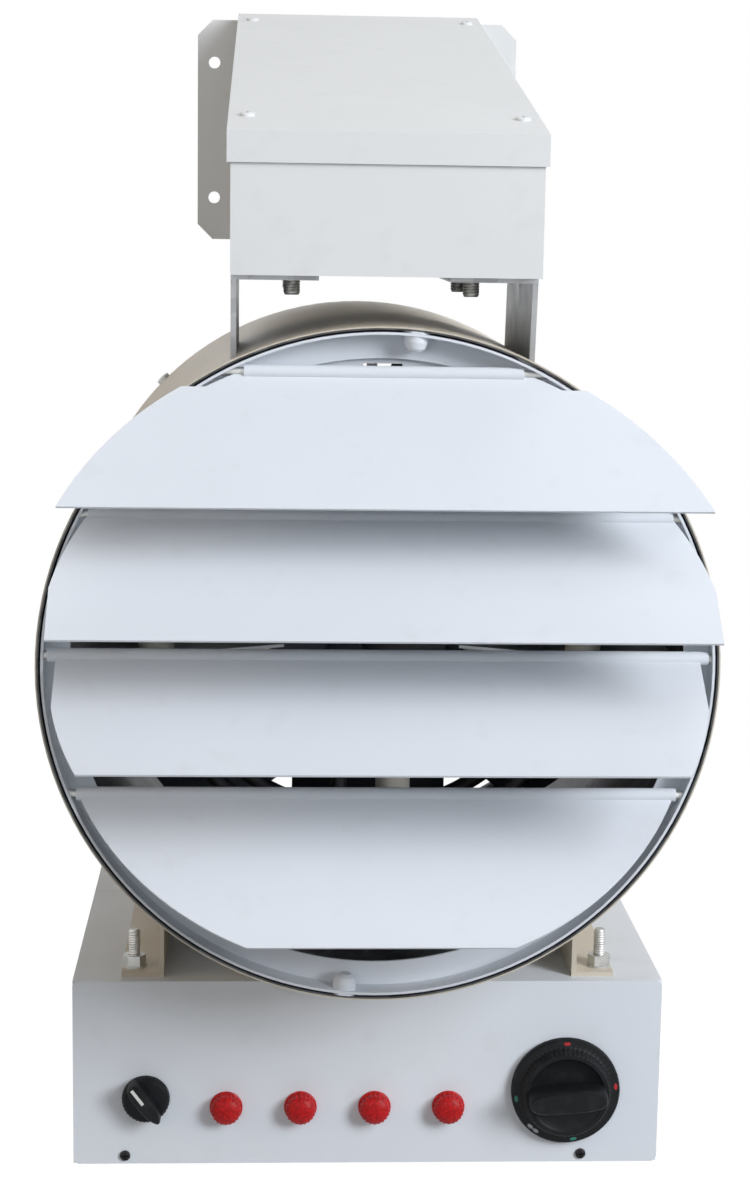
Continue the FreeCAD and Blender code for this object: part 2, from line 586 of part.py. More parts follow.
def make_guard():
    """Wire guard of rings and spokes in the air inlet, held by four screwed clips."""
    rings = [ring("guard_ring_%d" % count, "%d * guard_pitch" % count, "guard_wire", "guard_y")
             for count in range(1, GUARD_RINGS + 1)]
    rim = ring("guard_rim_ring", "guard_rim", "guard_rim_wire", "guard_y")
    spokes = []
    for number in range(GUARD_SPOKES):
        wire = rod("guard_spoke_%d_wire" % number, "z", "guard_wire / 2", ("-guard_rim", "guard_rim"),
                   y="guard_y")
        spokes.append(about_duct("guard_spoke_%d" % number, wire, str(180 * number / GUARD_SPOKES)))
    node(fuse("rear_guard", rim, *rings, *spokes))
    clips, screws, holes = [], [], []
    for number in range(1, GUARD_CLIPS + 1):
        angle = str(360 * number / GUARD_CLIPS - 45)
        name = "guard_clip_%d" % number
        depth = ("duct_rear - clip_depth", "duct_rear")
        piece = block(name + "_block", ("-clip_width / 2", "clip_width / 2"), depth,
                      ("duct_bore / 2 - clip_height", "duct_bore / 2"))
        seated = common(name + "_seated", piece, rod(name + "_reach", "y", "duct_bore / 2", depth))
        middle = "duct_rear - clip_depth + clip_edge"
        bored = rod(name + "_bore", "z", "guard_screw_dia / 2",
                    ("duct_bore / 2 - clip_height", "duct_radius"), y=middle)
        grooved = cut(name + "_grooved", seated, bored,
                      ring(name + "_groove", "guard_rim", "guard_rim_wire", "guard_y", "0"))
        screw = turned("guard_screw_%d" % number, [
            ("duct_bore / 2 - clip_height", "0"), ("duct_bore / 2 - clip_height", "guard_screw_dia / 2"),
            ("duct_radius", "guard_screw_dia / 2"), ("duct_radius", "guard_screw_head / 2"),
            ("duct_radius + guard_screw_head / 4", "guard_screw_head / 2"),
            ("duct_radius + guard_screw_head / 3", "guard_screw_head / 4"),
            ("duct_radius + guard_screw_head / 3", "0"),
        ], "z", y=middle)
        clips.append(about_duct(name, grooved, angle))
        screws.append(about_duct("guard_screw_%d_set" % number, screw, angle))
        holes.append(about_duct(name + "_hole", bored, angle))
    node(group("guard_clips", *clips))
    node(group("guard_screws", *screws))
    return holes


def make_rivets(name, places, plate):
    """Rivets of a curved flange on the duct: each place is a distance along Y and an angle round the duct."""
    rivets, holes = [], []
    for number, (y, angle) in enumerate(places, start=1):
        one = "%s_%d" % (name, number)
        outside = "duct_radius + " + plate
        rivet = turned(one, [
            ("duct_bore / 2 - rivet_head", "0"), ("duct_bore / 2 - rivet_head", "rivet_dia * 0.6"),
            ("duct_bore / 2 - rivet_head / 3", "rivet_dia * 0.8"), ("duct_bore / 2", "rivet_dia / 2"),
            (outside, "rivet_dia / 2"), (outside, "rivet_head_dia / 2"),
            (outside + " + rivet_head / 3", "rivet_head_dia / 2"),
            (outside + " + rivet_head", "rivet_head_dia / 4"),
            (outside + " + rivet_head", "0"),
        ], "z", y=y)
        bored = rod(one + "_bore", "z", "rivet_dia / 2",
                    ("duct_bore / 2 - rivet_head", outside + " + rivet_head"), y=y)
        rivets.append(about_duct(one + "_set", rivet, angle))
        holes.append(about_duct(one + "_hole", bored, angle))
    node(group(name, *rivets))
    return holes


def side_span(side, low, high):
    """Span along X on the left or right side."""
    return (low, high) if side == "right" else ("-(%s)" % high, "-(%s)" % low)


def make_saddles():
    """Angles that carry the duct on the control box: foot outwards, curved flange under the duct."""
    along = ("saddle_y", "saddle_rear")
    lean = "180 deg - asin(saddle_rivet_x / duct_radius)"
    places = []
    for angle in (lean, "-(%s)" % lean):
        places += [("saddle_y + rivet_inset", angle), ("saddle_rear - rivet_inset", angle)]
    holes = make_rivets("saddle_rivets", places, "saddle_thick")
    studs, nuts = [], []
    for side, sign in (("left", "-"), ("right", "")):
        name = "saddle_" + side
        inner, outer = "saddle_reach - saddle_thick / 2", "saddle_reach + saddle_thick / 2"
        leg = block(name + "_leg", side_span(side, inner, outer), along,
                    ("box_top", "duct_axis - saddle_reach / 2"))
        foot = block(name + "_foot", side_span(side, inner, "saddle_reach + saddle_foot"), along,
                     ("box_top", "box_top + saddle_thick"))
        flange = common(name + "_flange",
                        tube(name + "_flange_ring", "duct_radius + saddle_thick", "duct_radius", along),
                        block(name + "_flange_part", side_span(side, "saddle_reach - saddle_flange", outer),
                              along,
                              ("duct_axis - 2 * duct_radius", "duct_axis")))
        trimmed = cut(name + "_trimmed", fuse(name + "_shape", leg, foot),
                      rod(name + "_seat", "y", "duct_radius", along, z="duct_axis"))
        stud_holes = []
        for end, y in (("front", "saddle_y + stud_inset"), ("rear", "saddle_rear - stud_inset")):
            x = sign + "stud_x"
            stud = rod("saddle_stud_%s_%s" % (side, end), "z", "stud_dia / 2",
                       ("box_top", "box_top + stud_height"), x=x, y=y)
            base = "box_top + saddle_thick"
            bore = rod("saddle_nut_bore_%s_%s" % (side, end), "z", "stud_dia / 2",
                       ("box_top", "box_top + stud_height"), x=x, y=y)
            washer = rod("saddle_washer_%s_%s" % (side, end), "z", "washer_dia / 2",
                         (base, base + " + washer_thick"), x=x, y=y)
            nut = hexagon("saddle_hex_%s_%s" % (side, end), "z", "nut_width",
                          (base + " + washer_thick", base + " + washer_thick + nut_height"), x=x, y=y)
            studs.append(stud)
            nuts.append(cut("saddle_nut_%s_%s" % (side, end),
                            fuse("saddle_nut_raw_%s_%s" % (side, end), washer, nut), bore))
            stud_holes.append(bore)
        node(cut(name, fuse(name + "_whole", trimmed, flange), *stud_holes, *holes))
    node(group("saddle_studs", *studs))
    node(group("saddle_nuts", *nuts))
    return holes


def lamp_x(number):
    """Place across the panel of one of the lamps, counted from the left."""
    return "%d * lamp_pitch - lamp_first" % (number - 1)


def make_control_box(bushing_holes):
    """Sheet-metal box, open at the front and below, with a front panel and a base that close it."""
    half = ("-box_width / 2", "box_width / 2")
    outside = block("control_box_outside", half, ("panel_back", "box_rear"), ("box_bottom", "box_top"))
    inside = block("control_box_inside", ("box_sheet - box_width / 2", "box_width / 2 - box_sheet"),
                   ("panel_y", "box_rear - box_sheet"), ("box_bottom - box_sheet", "box_top - box_sheet"))
    gland = rod("gland_hole", "y", "gland_thread / 2", ("box_rear - gland_inside", "box_rear"),
                x="gland_offset", z="box_bottom + gland_rise")
    node(cut("control_box_body", cut("control_box_shell", outside, inside), gland, *bushing_holes))

    panel = doc.addObject("PartDesign::Body", "control_panel")
    face = sketch_on(panel, "panel_face", "XZ_Plane")
    outline(face, [("-box_width / 2", "0"), ("box_width / 2", "0"),
                   ("box_width / 2", "box_height"), ("-box_width / 2", "box_height")])
    for number in range(1, LAMPS + 1):
        hole(face, "lamp_body_dia / 2", lamp_x(number), "lamp_height")
    hole(face, "neck_dia / 2", "-switch_offset", "switch_height")
    hole(face, "neck_dia / 2", "dial_offset", "dial_height")
    for x in ("-panel_screw_left", "panel_screw_right"):
        hole(face, "panel_screw_dia / 2", x, "panel_screw_rise")
    flat = grow(panel, "Pad", "panel_sheet", face, "panel_thick", back=True)
    doc.recompute()
    reach = flat.Shape.BoundBox.XMax
    upright = ["Edge%d" % number for number, edge in enumerate(flat.Shape.Edges, start=1)
               if edge.BoundBox.YLength > edge.BoundBox.ZLength and abs(edge.CenterOfMass.x) > reach - 1]
    rounding = panel.newObject("PartDesign::Fillet", "panel_corners")
    rounding.Base = (flat, upright)
    bind(rounding, Radius="panel_corner")
    place(panel, y="panel_y", z="box_bottom")
    node(panel)

    side = ("box_sheet + base_clearance - box_width / 2", "box_width / 2 - box_sheet - base_clearance")
    floor = block("base_floor", side, ("panel_back", "box_rear - box_sheet"), ("box_bottom", "base_top"))
    front_lip = block("base_front_lip", side, ("panel_back", "panel_back + box_sheet"),
                      ("box_bottom", "box_bottom + base_lip"))
    rear_lip = block("base_rear_lip", side, ("box_rear - 2 * box_sheet", "box_rear - box_sheet"),
                     ("box_bottom", "box_bottom + base_lip"))
    screws, bores = [], []
    for name, x in (("left", "-panel_screw_left"), ("right", "panel_screw_right")):
        z = "box_bottom + panel_screw_rise"
        screws.append(turned("panel_screw_" + name, [
            ("-panel_screw_head * 0.3", "0"), ("-panel_screw_head * 0.3", "panel_screw_head / 4"),
            ("-panel_screw_head * 0.15", "panel_screw_head / 2"), ("0", "panel_screw_head / 2"),
            ("0", "panel_screw_dia / 2"), ("panel_thick + 4 * box_sheet", "panel_screw_dia / 2"),
            ("panel_thick + 4 * box_sheet", "0")], "y", x=x, y="panel_y", z=z))
        bores.append(rod("panel_screw_bore_" + name, "y", "panel_screw_dia / 2",
                         ("panel_y", "panel_back + box_sheet"), x=x, z=z))
    node(cut("control_box_base", fuse("base_tray", floor, front_lip, rear_lip), *bores))
    node(group("panel_screws", *screws))


def make_lamps():
    """Four domed lamps on the panel, each with its holder behind."""
    holders = []
    for number in range(1, LAMPS + 1):
        x = lamp_x(number)
        node(turned("lamp_lens_%d" % number, [
            ("0", "0"), ("0", "lamp_dia / 2"), ("-lamp_proud * 0.35", "lamp_dia / 2"),
            ("-lamp_proud * 0.7", "lamp_dia * 0.44"), ("-lamp_proud * 0.92", "lamp_dia * 0.3"),
            ("-lamp_proud", "lamp_dia * 0.12"), ("-lamp_proud", "0")], "y", x=x, y="panel_y", z="lamp_z"))
        holders.append(rod("lamp_body_%d" % number, "y", "lamp_body_dia / 2",
                           ("panel_y", "panel_y + lamp_body_length"),
                           x=x, z="lamp_z"))
    node(group("lamp_bodies", *holders))


def make_spindle(name, x, z):
    """Spindle of a knob, from inside the knob to inside the piece behind the panel."""
    node(rod(name, "y", "spindle_dia / 2", ("knob_back - knob_bore_depth", "panel_y + spindle_depth"), x=x,
             z=z))


def knob_bore(name, x, z):
    """Blind hole in a knob for its spindle."""
    return rod(name, "y", "spindle_dia / 2", ("knob_back - knob_bore_depth", "knob_back"), x=x, z=z)


def knob_bar(name, length, width, height, x, z, angle):
    """Raised finger bar of a knob, with tapered ends, turned to where the knob points."""
    body = doc.addObject("PartDesign::Body", name)
    plan = sketch_on(body, name + "_plan", "XZ_Plane")
    outline(plan, [("-%s / 2" % length, "-%s * 0.3" % width), ("-%s * 0.36" % length, "-%s / 2" % width),
                   ("%s * 0.3" % length, "-%s / 2" % width), ("%s / 2" % length, "-%s * 0.16" % width),
                   ("%s / 2" % length, "%s * 0.16" % width), ("%s * 0.3" % length, "%s / 2" % width),
                   ("-%s * 0.36" % length, "%s / 2" % width), ("-%s / 2" % length, "%s * 0.3" % width)])
    grow(body, "Pad", name + "_pad", plan, height)
    place(body, x, "knob_back", z)
    return turn(body, Vector(0, 1, 0), angle)


def make_knobs():
    """Rotary switch and thermostat behind the panel, and the knobs on their spindles."""
    bore = "spindle_dia / 2 + spindle_clearance"
    neck = [("0", bore), ("0", "neck_dia / 2"), ("panel_thick", "neck_dia / 2")]
    x, z = "-switch_offset", "switch_z"
    collar = turned("switch_neck", neck + [("panel_thick", bore)], "y", x=x, y="panel_y", z=z)
    case = block("switch_case", ("-switch_offset - switch_body / 2", "switch_body / 2 - switch_offset"),
                 ("panel_back", "panel_back + switch_body_depth"),
                 ("switch_z - switch_body / 2", "switch_z + switch_body / 2"))
    shaft_hole = rod("switch_shaft_hole", "y", bore, ("panel_y", "panel_y + spindle_depth + knob_gap"), x=x,
                     z=z)
    node(cut("switch_body", fuse("switch_solid", collar, case), shaft_hole))
    make_spindle("switch_spindle", x, z)
    skirt = turned("switch_skirt_disc",
                   [("0", "0"), ("0", "switch_dia / 2"), ("-switch_skirt * 0.6", "switch_dia / 2"),
                                         ("-switch_skirt", "switch_dia * 0.45"), ("-switch_skirt", "0")],
                   "y", x=x, y="knob_back", z=z)
    bar = knob_bar("switch_bar", "switch_bar_length", "switch_bar_width", "switch_bar_height", x, z,
                   "switch_turn")
    node(cut("switch_knob", fuse("switch_knob_solid", skirt, bar), knob_bore("switch_knob_bore", x, z)))

    x, z = "dial_offset", "dial_z"
    node(turned("thermostat_body", neck + [
        ("panel_thick", "dial_body_dia / 2"), ("dial_body_depth * 0.8", "dial_body_dia / 2"),
        ("dial_body_depth", "dial_body_dia * 0.4"), ("dial_body_depth", "0"),
        ("spindle_depth + knob_gap", "0"), ("spindle_depth + knob_gap", bore)], "y", x=x, y="panel_y", z=z))
    make_spindle("thermostat_spindle", x, z)
    skirt = turned("dial_skirt_disc",
                   [("0", "0"), ("0", "dial_dia / 2"), ("-dial_skirt * 0.35", "dial_dia / 2"),
                                       ("-dial_skirt", "dial_crown_dia / 2"), ("-dial_skirt", "0")],
                   "y", x=x, y="knob_back", z=z)
    bar = knob_bar("dial_bar", "dial_bar_length", "dial_bar_width", "(dial_skirt + dial_bar_height)", x, z,
                   "dial_turn")
    node(cut("thermostat_knob", fuse("dial_knob_solid", skirt, bar), knob_bore("dial_knob_bore", x, z)))


def make_wiring():
    """Terminal block and motor capacitor on the base of the control box, and the gland in its back."""
    y = "box_rear - terminal_inset"
    case = block("terminal_case", ("gland_offset - terminal_width", "gland_offset"),
                 (y + " - terminal_depth", y),
                 ("base_top", "base_top + terminal_height"))
    step = "terminal_width / terminal_poles"
    wells = []
    for number in range(int(SIZES["terminal_poles"])):
        x = "gland_offset - terminal_width + (%d + 0.5) * %s" % (number, step)
        wells.append(rod("terminal_well_%d" % number, "z", "%s * 0.36" % step,
                         ("base_top + terminal_height / 2", "base_top + terminal_height"),
                         x=x, y=y + " - terminal_depth / 2"))
    node(cut("terminal_block", case, *wells))
    node(turned("motor_capacitor", [
        ("0", "0"), ("0", "capacitor_dia * 0.42"), ("capacitor_length * 0.06", "capacitor_dia / 2"),
        ("capacitor_length * 0.94", "capacitor_dia / 2"), ("capacitor_length", "capacitor_dia * 0.42"),
        ("capacitor_length", "0")], "x", x="-capacitor_offset - capacitor_length", y=y + " - capacitor_dia",
        z="base_top + capacitor_dia / 2"))
    x, z = "gland_offset", "box_bottom + gland_rise"
    stem = turned("gland_stem", [
        ("-gland_inside", "gland_bore / 2"), ("-gland_inside", "gland_thread / 2"),
        ("gland_collar", "gland_thread / 2"), ("gland_collar", "gland_hex * 0.48"),
        ("gland_collar + gland_nose * 0.6", "gland_hex * 0.46"),
        ("gland_collar + gland_nose", "gland_hex * 0.36"),
        ("gland_collar + gland_nose", "gland_bore / 2")], "y", x=x, y="box_rear", z=z)
    flats = hexagon("gland_flats", "y", "gland_hex", ("box_rear", "box_rear + gland_collar"), x=x, z=z)
    through = rod("gland_through", "y", "gland_bore / 2",
                  ("box_rear - gland_inside", "box_rear + gland_collar + gland_nose"), x=x, z=z)
    node(cut("cable_gland", fuse("gland_solid", stem, flats), through))


def make_cutout():
    """Overheat cut-out disc, seated on the underside of the duct."""
    x, y = "cutout_offset", "duct_front + cutout_setback"
    low = "duct_axis - sqrt(duct_radius ^ 2 - (cutout_offset - cutout_dia / 2) ^ 2) - cutout_height"
    disc = rod("cutout_disc", "z", "cutout_dia / 2", (low, "duct_axis"), x=x, y=y)
    trim = rod("cutout_seat", "y", "duct_radius", ("duct_front", "duct_rear"), z="duct_axis")
    node(cut("limit_thermostat", disc, trim))


def slope_at(y, start):
    """Height at a depth on a plane that rises with the lid from its start above the bracket's front."""
    return "%s + (%s - bracket_y) * slope" % (start, y)


def make_bracket():
    """Wall plate and wedge-shaped box over the duct, open on top, with two rails for the lid."""
    plate = doc.addObject("PartDesign::Body", "wall_plate")
    face = sketch_on(plate, "plate_face", "XZ_Plane")
    x, z, c = "plate_width / 2", "plate_height / 2", "plate_chamfer"
    outline(face, [("%s - %s" % (c, x), "-" + z), ("%s - %s" % (x, c), "-" + z), (x, "%s - %s" % (c, z)),
                   (x, "%s - %s" % (z, c)), ("%s - %s" % (x, c), z), ("%s - %s" % (c, x), z),
                   ("-" + x, "%s - %s" % (z, c)), ("-" + x, "%s - %s" % (c, z))])
    for across in ("-wall_hole_x / 2", "wall_hole_x / 2"):
        for up in ("-wall_hole_z / 2", "wall_hole_z / 2"):
            hole(face, "wall_hole_dia / 2", across, up)
    grow(plate, "Pad", "plate_sheet", face, "plate_thick")
    node(plate)

    body = doc.addObject("PartDesign::Body", "bracket_tray")
    side = outline(sketch_on(body, "bracket_side", "YZ_Plane"), [
        ("bracket_y", "bracket_floor"), ("bracket_rear", "bracket_floor"),
        ("bracket_rear", slope_at("bracket_rear", "wall_low")), ("bracket_y", "wall_low")])
    grow(body, "Pad", "bracket_solid", side, "bracket_width", middle=True)
    front, rear = "bracket_y + bracket_sheet", "bracket_rear - bracket_sheet"
    space = outline(sketch_on(body, "bracket_space", "YZ_Plane"), [
        (front, "bracket_floor + bracket_sheet"), (rear, "bracket_floor + bracket_sheet"),
        (rear, slope_at(rear, "wall_low + lid_lip")), (front, slope_at(front, "wall_low + lid_lip"))])
    grow(body, "Pocket", "bracket_hollow", space, "bracket_width - 2 * bracket_sheet", middle=True)
    for name, middle in (("front", "lid_screw_y1"), ("rear", "lid_screw_y2")):
        low, high = middle + " - rail_width / 2", middle + " + rail_width / 2"
        strip = outline(sketch_on(body, "rail_%s_side" % name, "YZ_Plane"), [
            (low, slope_at(low, "wall_low - rail_skin")), (high, slope_at(high, "wall_low - rail_skin")),
            (high, slope_at(high, "wall_low")), (low, slope_at(low, "wall_low"))])
        grow(body, "Pad", "rail_" + name, strip, "bracket_width - bracket_sheet", middle=True)
    return body


def make_lid():
    """Sloped lid with a lip all round but at the wall, and its four screws into the rails."""
    body = doc.addObject("PartDesign::Body", "lid_sheet_metal")
    side = outline(sketch_on(body, "lid_side", "YZ_Plane"), [
        ("bracket_lip_y", slope_at("bracket_lip_y", "lid_top - lid_lip")),
        ("lid_rear", slope_at("lid_rear", "lid_top - lid_lip")),
        ("lid_rear", slope_at("lid_rear", "lid_top")),
        ("bracket_lip_y", slope_at("bracket_lip_y", "lid_top"))])
    grow(body, "Pad", "lid_solid", side, "2 * lid_half", middle=True)
    front, rear = "bracket_lip_y + lid_sheet", "lid_rear + lid_sheet"
    space = outline(sketch_on(body, "lid_space", "YZ_Plane"), [
        (front, slope_at(front, "lid_top - 2 * lid_lip")), (rear, slope_at(rear, "lid_top - 2 * lid_lip")),
        (rear, slope_at(rear, "wall_low")), (front, slope_at(front, "wall_low"))])
    grow(body, "Pocket", "lid_hollow", space, "2 * lid_half - 2 * lid_sheet", middle=True)
    screws, bores = [], []
    for place_name, y in (("front", "lid_screw_y1"), ("rear", "lid_screw_y2")):
        for side_name, x in (("left", "-lid_screw_x"), ("right", "lid_screw_x")):
            name = "lid_screw_%s_%s" % (place_name, side_name)
            depth = "2 * lid_sheet + 2 * bracket_sheet"
            screw = turned(name, [
                ("lid_screw_cap", "0"), ("lid_screw_cap", "lid_screw_head / 4"),
                ("lid_screw_cap * 0.5", "lid_screw_head / 2"), ("0", "lid_screw_head / 2"),
                ("0", "lid_screw_dia / 2"), ("-(%s)" % depth, "lid_screw_dia / 2"), ("-(%s)" % depth, "0")],
                "z")
            bore = rod(name + "_bore", "z", "lid_screw_dia / 2", ("-(%s)" % depth, "lid_sheet"))
            for what, goal in ((screw, screws), (bore, bores)):
                leaned = turn(group(what.Name + "_leaned", what), Vector(1, 0, 0), "bracket_slope")
                goal.append(place(leaned, x, y, slope_at(y, "lid_top")))
    node(cut("bracket_lid", body, *bores))
    node(group("lid_screws", *screws))
    return bores


def make_hangers(tray, lid_bores):
    """Hangers from the bracket box to the duct: a flange above, and a slanting web that ends on the duct."""
    along = ("hanger_y", "hanger_y + hanger_length + hanger_slant")
    bolts, bores = [], []
    for side, sign in (("left", "-"), ("right", "")):
        name = "hanger_" + side
        web = doc.addObject("PartDesign::Body", name + "_web")
        shape = outline(sketch_on(web, name + "_web_side", "YZ_Plane"), [
            ("hanger_y", "bracket_floor"), ("hanger_y + hanger_slant", "duct_axis + duct_radius / 2"),
            ("hanger_y + hanger_slant + hanger_length", "duct_axis + duct_radius / 2"),
            ("hanger_y + hanger_length", "bracket_floor")])
        grow(web, "Pad", name + "_web_sheet", shape, "hanger_thick")
        place(web, x="hanger_outer - hanger_thick" if side == "right" else "-hanger_outer")
        flange = block(name + "_flange", side_span(side, "hanger_outer - hanger_flange", "hanger_outer"),
                       ("hanger_y", "hanger_y + hanger_length"),
                       ("bracket_floor - hanger_thick", "bracket_floor"))
        trimmed = cut(name + "_trimmed", fuse(name + "_angle", web, flange),
                      rod(name + "_seat", "y", "duct_radius", along, z="duct_axis"))
        own = []
        for end, y in (("front", "hanger_bolt_y"), ("rear", "hanger_bolt_y + hanger_bolt_pitch")):
            x = sign + "hanger_bolt_offset"
            seat = "bracket_floor + bracket_sheet"
            span = ("bracket_floor - hanger_bolt_tail", seat)
            one = "hanger_bolt_%s_%s" % (side, end)
            shank = rod(one + "_shank", "z", "hanger_bolt_dia / 2", span, x=x, y=y)
            head = hexagon(one + "_head", "z", "hanger_bolt_hex", (seat, seat + " + hanger_bolt_head"), x=x,
                           y=y)
            bolts.append(fuse(one, shank, head))
            own.append(rod(one + "_bore", "z", "hanger_bolt_dia / 2", span, x=x, y=y))
        node(cut(name, trimmed, *own))
        bores += own
    node(group("hanger_bolts", *bolts))
    node(cut("bracket_box", tray, *bores, *lid_bores))


LOUVRES, ELEMENTS, FAN_BLADES, LAMPS = 4, 3, 7, 4
GUARD_RINGS, GUARD_SPOKES, GUARD_CLIPS = 4, 3, 4

bolt_holes = make_collar_bolts()
rod_bars = [make_louvre(number) for number in range(1, LOUVRES + 1)]
make_collar(rod_bars, bolt_holes)
leg_holes = make_elements()
make_fan()
clip_holes = make_guard()
saddle_holes = make_saddles()
make_control_box(leg_holes)
make_lamps()
make_knobs()
make_wiring()
make_cutout()
bracket_tray = make_bracket()
lid_bores = make_lid()
make_hangers(bracket_tray, lid_bores)
duct_tube = tube("duct_tube", "duct_radius", "duct_bore / 2", ("duct_front", "duct_rear"))
node(cut("duct_shell", duct_tube, *bolt_holes, *leg_holes, *clip_holes, *saddle_holes))

doc.recompute()
failed = [thing.Label for thing in doc.Objects if "Invalid" in thing.State or "Error" in thing.State]
broken = [thing.Label for thing in nodes if thing.Shape.isNull() or not thing.Shape.isValid()]
if failed or broken:
    raise RuntimeError("failed: %s; not valid: %s" % (failed, broken))
os.makedirs("parts", exist_ok=True)
for thing in nodes:
    thing.Shape.exportStep("parts/%s.step" % thing.Label)
    print("%-20s %d solids, %10.1f mm3" % (thing.Label, len(thing.Shape.Solids), thing.Shape.Volume))
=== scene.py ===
import json
import math

import bmesh
import bpy
import numpy as np
from bpy.props import FloatProperty, FloatVectorProperty, IntProperty, PointerProperty
from mathutils import Matrix, Vector


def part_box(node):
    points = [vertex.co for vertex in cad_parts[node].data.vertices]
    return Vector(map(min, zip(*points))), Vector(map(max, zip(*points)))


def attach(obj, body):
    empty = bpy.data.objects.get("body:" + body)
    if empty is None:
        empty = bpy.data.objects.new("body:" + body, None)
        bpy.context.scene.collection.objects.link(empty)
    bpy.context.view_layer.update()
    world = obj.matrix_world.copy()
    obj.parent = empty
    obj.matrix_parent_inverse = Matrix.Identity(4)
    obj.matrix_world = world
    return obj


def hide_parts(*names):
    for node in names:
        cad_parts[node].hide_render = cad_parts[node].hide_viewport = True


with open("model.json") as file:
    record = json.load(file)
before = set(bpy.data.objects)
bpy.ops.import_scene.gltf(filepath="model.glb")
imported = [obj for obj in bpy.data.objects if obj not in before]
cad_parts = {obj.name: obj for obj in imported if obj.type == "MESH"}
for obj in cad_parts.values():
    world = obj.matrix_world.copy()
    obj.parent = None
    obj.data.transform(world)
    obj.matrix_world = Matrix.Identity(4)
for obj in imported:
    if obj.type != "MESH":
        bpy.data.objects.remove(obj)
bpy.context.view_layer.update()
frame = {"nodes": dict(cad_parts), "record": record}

bl_info = {
    "name": "Wall heater dressing",
    "version": (1, 0, 0),
    "blender": (4, 5, 0),
    "location": "View3D > Sidebar > Heater",
    "description": "Finishes and fine pieces for a round duct wall heater",
    "category": "Object",
}

MM = 0.001
DUCT_LOW, DUCT_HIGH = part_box("duct_shell")
DUCT_AXIS = (DUCT_LOW.z + DUCT_HIGH.z) / 2
DUCT_BORE = (DUCT_HIGH.x - DUCT_LOW.x) / 2 - 0.7 * MM
# Degrees that the finger bars stand from the level, as the knobs are packed.
SWITCH_TURN = 53
DIAL_TURN = -4
# Nodes whose finish differs from that of the rest of their slot.
BRACKET_NODES = ("wall_plate", "bracket_box", "bracket_lid")
# The saddles take a warm, darker white that is painted shade.
WARM_SHADE_NODES = ("saddle_left", "saddle_right", "saddle_rivets")
# On the hangers this dull grey is painted shade, standing for white paint in shadow; the motor bracket and
# element supports are galvanised.
GALVANISED_AND_SHADE_NODES = ("hanger_left", "hanger_right", "motor_bracket", "element_supports")
# Name, place, target, side in metres, power in watts and colour of each soft light.
LIGHTS = (
    ("key_light", (2.33, -2.25, 0.72), (0, -0.3, -0.25), 1.0, 63, "F3F6FD"),
    ("window_light", (1.88, -2.18, 1.55), (0, -0.3, -0.25), 1.0, 34, "F3F6FD"),
    ("sky_light", (0.25, -1.5, 1.7), (0, -0.3, -0.25), 1.4, 6.5, "F6F9FF"),
    ("top_light", (0.3, 0.25, 1.5), (0, -0.25, -0.1), 0.8, 5.5, "FFFFFF"),
    ("left_light", (-1.8, -0.9, 0.3), (0, -0.25, -0.3), 0.8, 5, "FFE2BE"),
    ("front_light", (-0.6, -2.0, 0.1), (0, -0.3, -0.3), 0.7, 3, "F1F5FF"),
    ("back_light", (0, 2.0, 0.12), (0, 0, -0.2), 0.8, 5, "F6F9FF"),
)


def linear(code):
    """Turn an sRGB hex colour into linear red, green and blue."""
    parts = [int(code[at:at + 2], 16) / 255 for at in (0, 2, 4)]
    return tuple(part / 12.92 if part <= 0.04045 else ((part + 0.055) / 1.055) ** 2.4 for part in parts)


def rgba(colour):
    """Colour with full opacity for a shader socket."""
    return (*colour, 1.0)


class HeaterColours(bpy.types.PropertyGroup):
    """Colours of the heater's finishes."""

    paint: FloatVectorProperty(name="Powder coat", description="White paint of the sheet metal",
                               subtype="COLOR", default=linear("E3E8ED"), min=0, max=1)
    bracket_paint: FloatVectorProperty(name="Bracket paint", description="White paint of the wall bracket",
                                       subtype="COLOR", default=linear("E6E8E7"), min=0, max=1)
    # A warm, darker white: painted shade on the duct's outside and the saddles.
    warm_shade_paint: FloatVectorProperty(name="Powder coat in warm painted shade",
                                    description="White paint darkened and warmed round the duct as painted shade",
                                    subtype="COLOR", default=linear("D0C7B6"), min=0, max=1)
    lens: FloatVectorProperty(name="Lamp lens", description="Red of the indicator lamps", subtype="COLOR",
                              default=linear("C2181B"), min=0, max=1)
    knob: FloatVectorProperty(name="Knobs", description="Black of the moulded knobs", subtype="COLOR",
                              default=linear("151719"), min=0, max=1)


class HeaterSizes(bpy.types.PropertyGroup):
    """Sizes of the fine pieces."""

    lens_flutes: IntProperty(name="Lens flutes", description="Flutes round each lamp lens", default=20,
                             min=6, max=60)
    dial_ribs: IntProperty(name="Dial ribs", description="Ribs round the thermostat knob", default=60,
                           min=12, max=120)
    thread_pitch: FloatProperty(name="Thread pitch", description="Pitch of the studs' thread", unit="LENGTH",
                                default=1.25 * MM, min=0.5 * MM, max=3 * MM)


class HeaterSettings(bpy.types.PropertyGroup):
    """All that a user may change."""

    colours: PointerProperty(type=HeaterColours, name="Colours", description="Finishes of the heater")
    sizes: PointerProperty(type=HeaterSizes, name="Sizes", description="Fine pieces of the heater")


def put(tree, kind, inputs=None, feeds=None, output=None, **settings):
    """Add one node with its settings, fill or link its inputs, let it feed a socket, and give its output."""
    node = tree.nodes.new("ShaderNode" + kind)
    for name, value in settings.items():
        setattr(node, name, value)
    for name, value in (inputs or {}).items():
        if isinstance(value, bpy.types.NodeSocket):
            tree.links.new(value, node.inputs[name])
        else:
            node.inputs[name].default_value = value
    socket = node.outputs[output] if output else next(one for one in node.outputs if one.enabled)
    if feeds:
        tree.links.new(socket, feeds)
    return socket


def finish(name, **sockets):
    """Start a material: returns it with its node tree, its shader's inputs and its object coordinates."""
    material = bpy.data.materials.new(name)
    material.use_nodes = True
    tree = material.node_tree
    shader = tree.nodes["Principled BSDF"].inputs
    for socket, value in sockets.items():
        shader[socket.replace("_", " ")].default_value = value
    return material, tree, shader, put(tree, "TexCoord", output="Object")


def dimmed(colour, share):
    """Colour with a share of its light."""
    return rgba(part * share for part in colour)


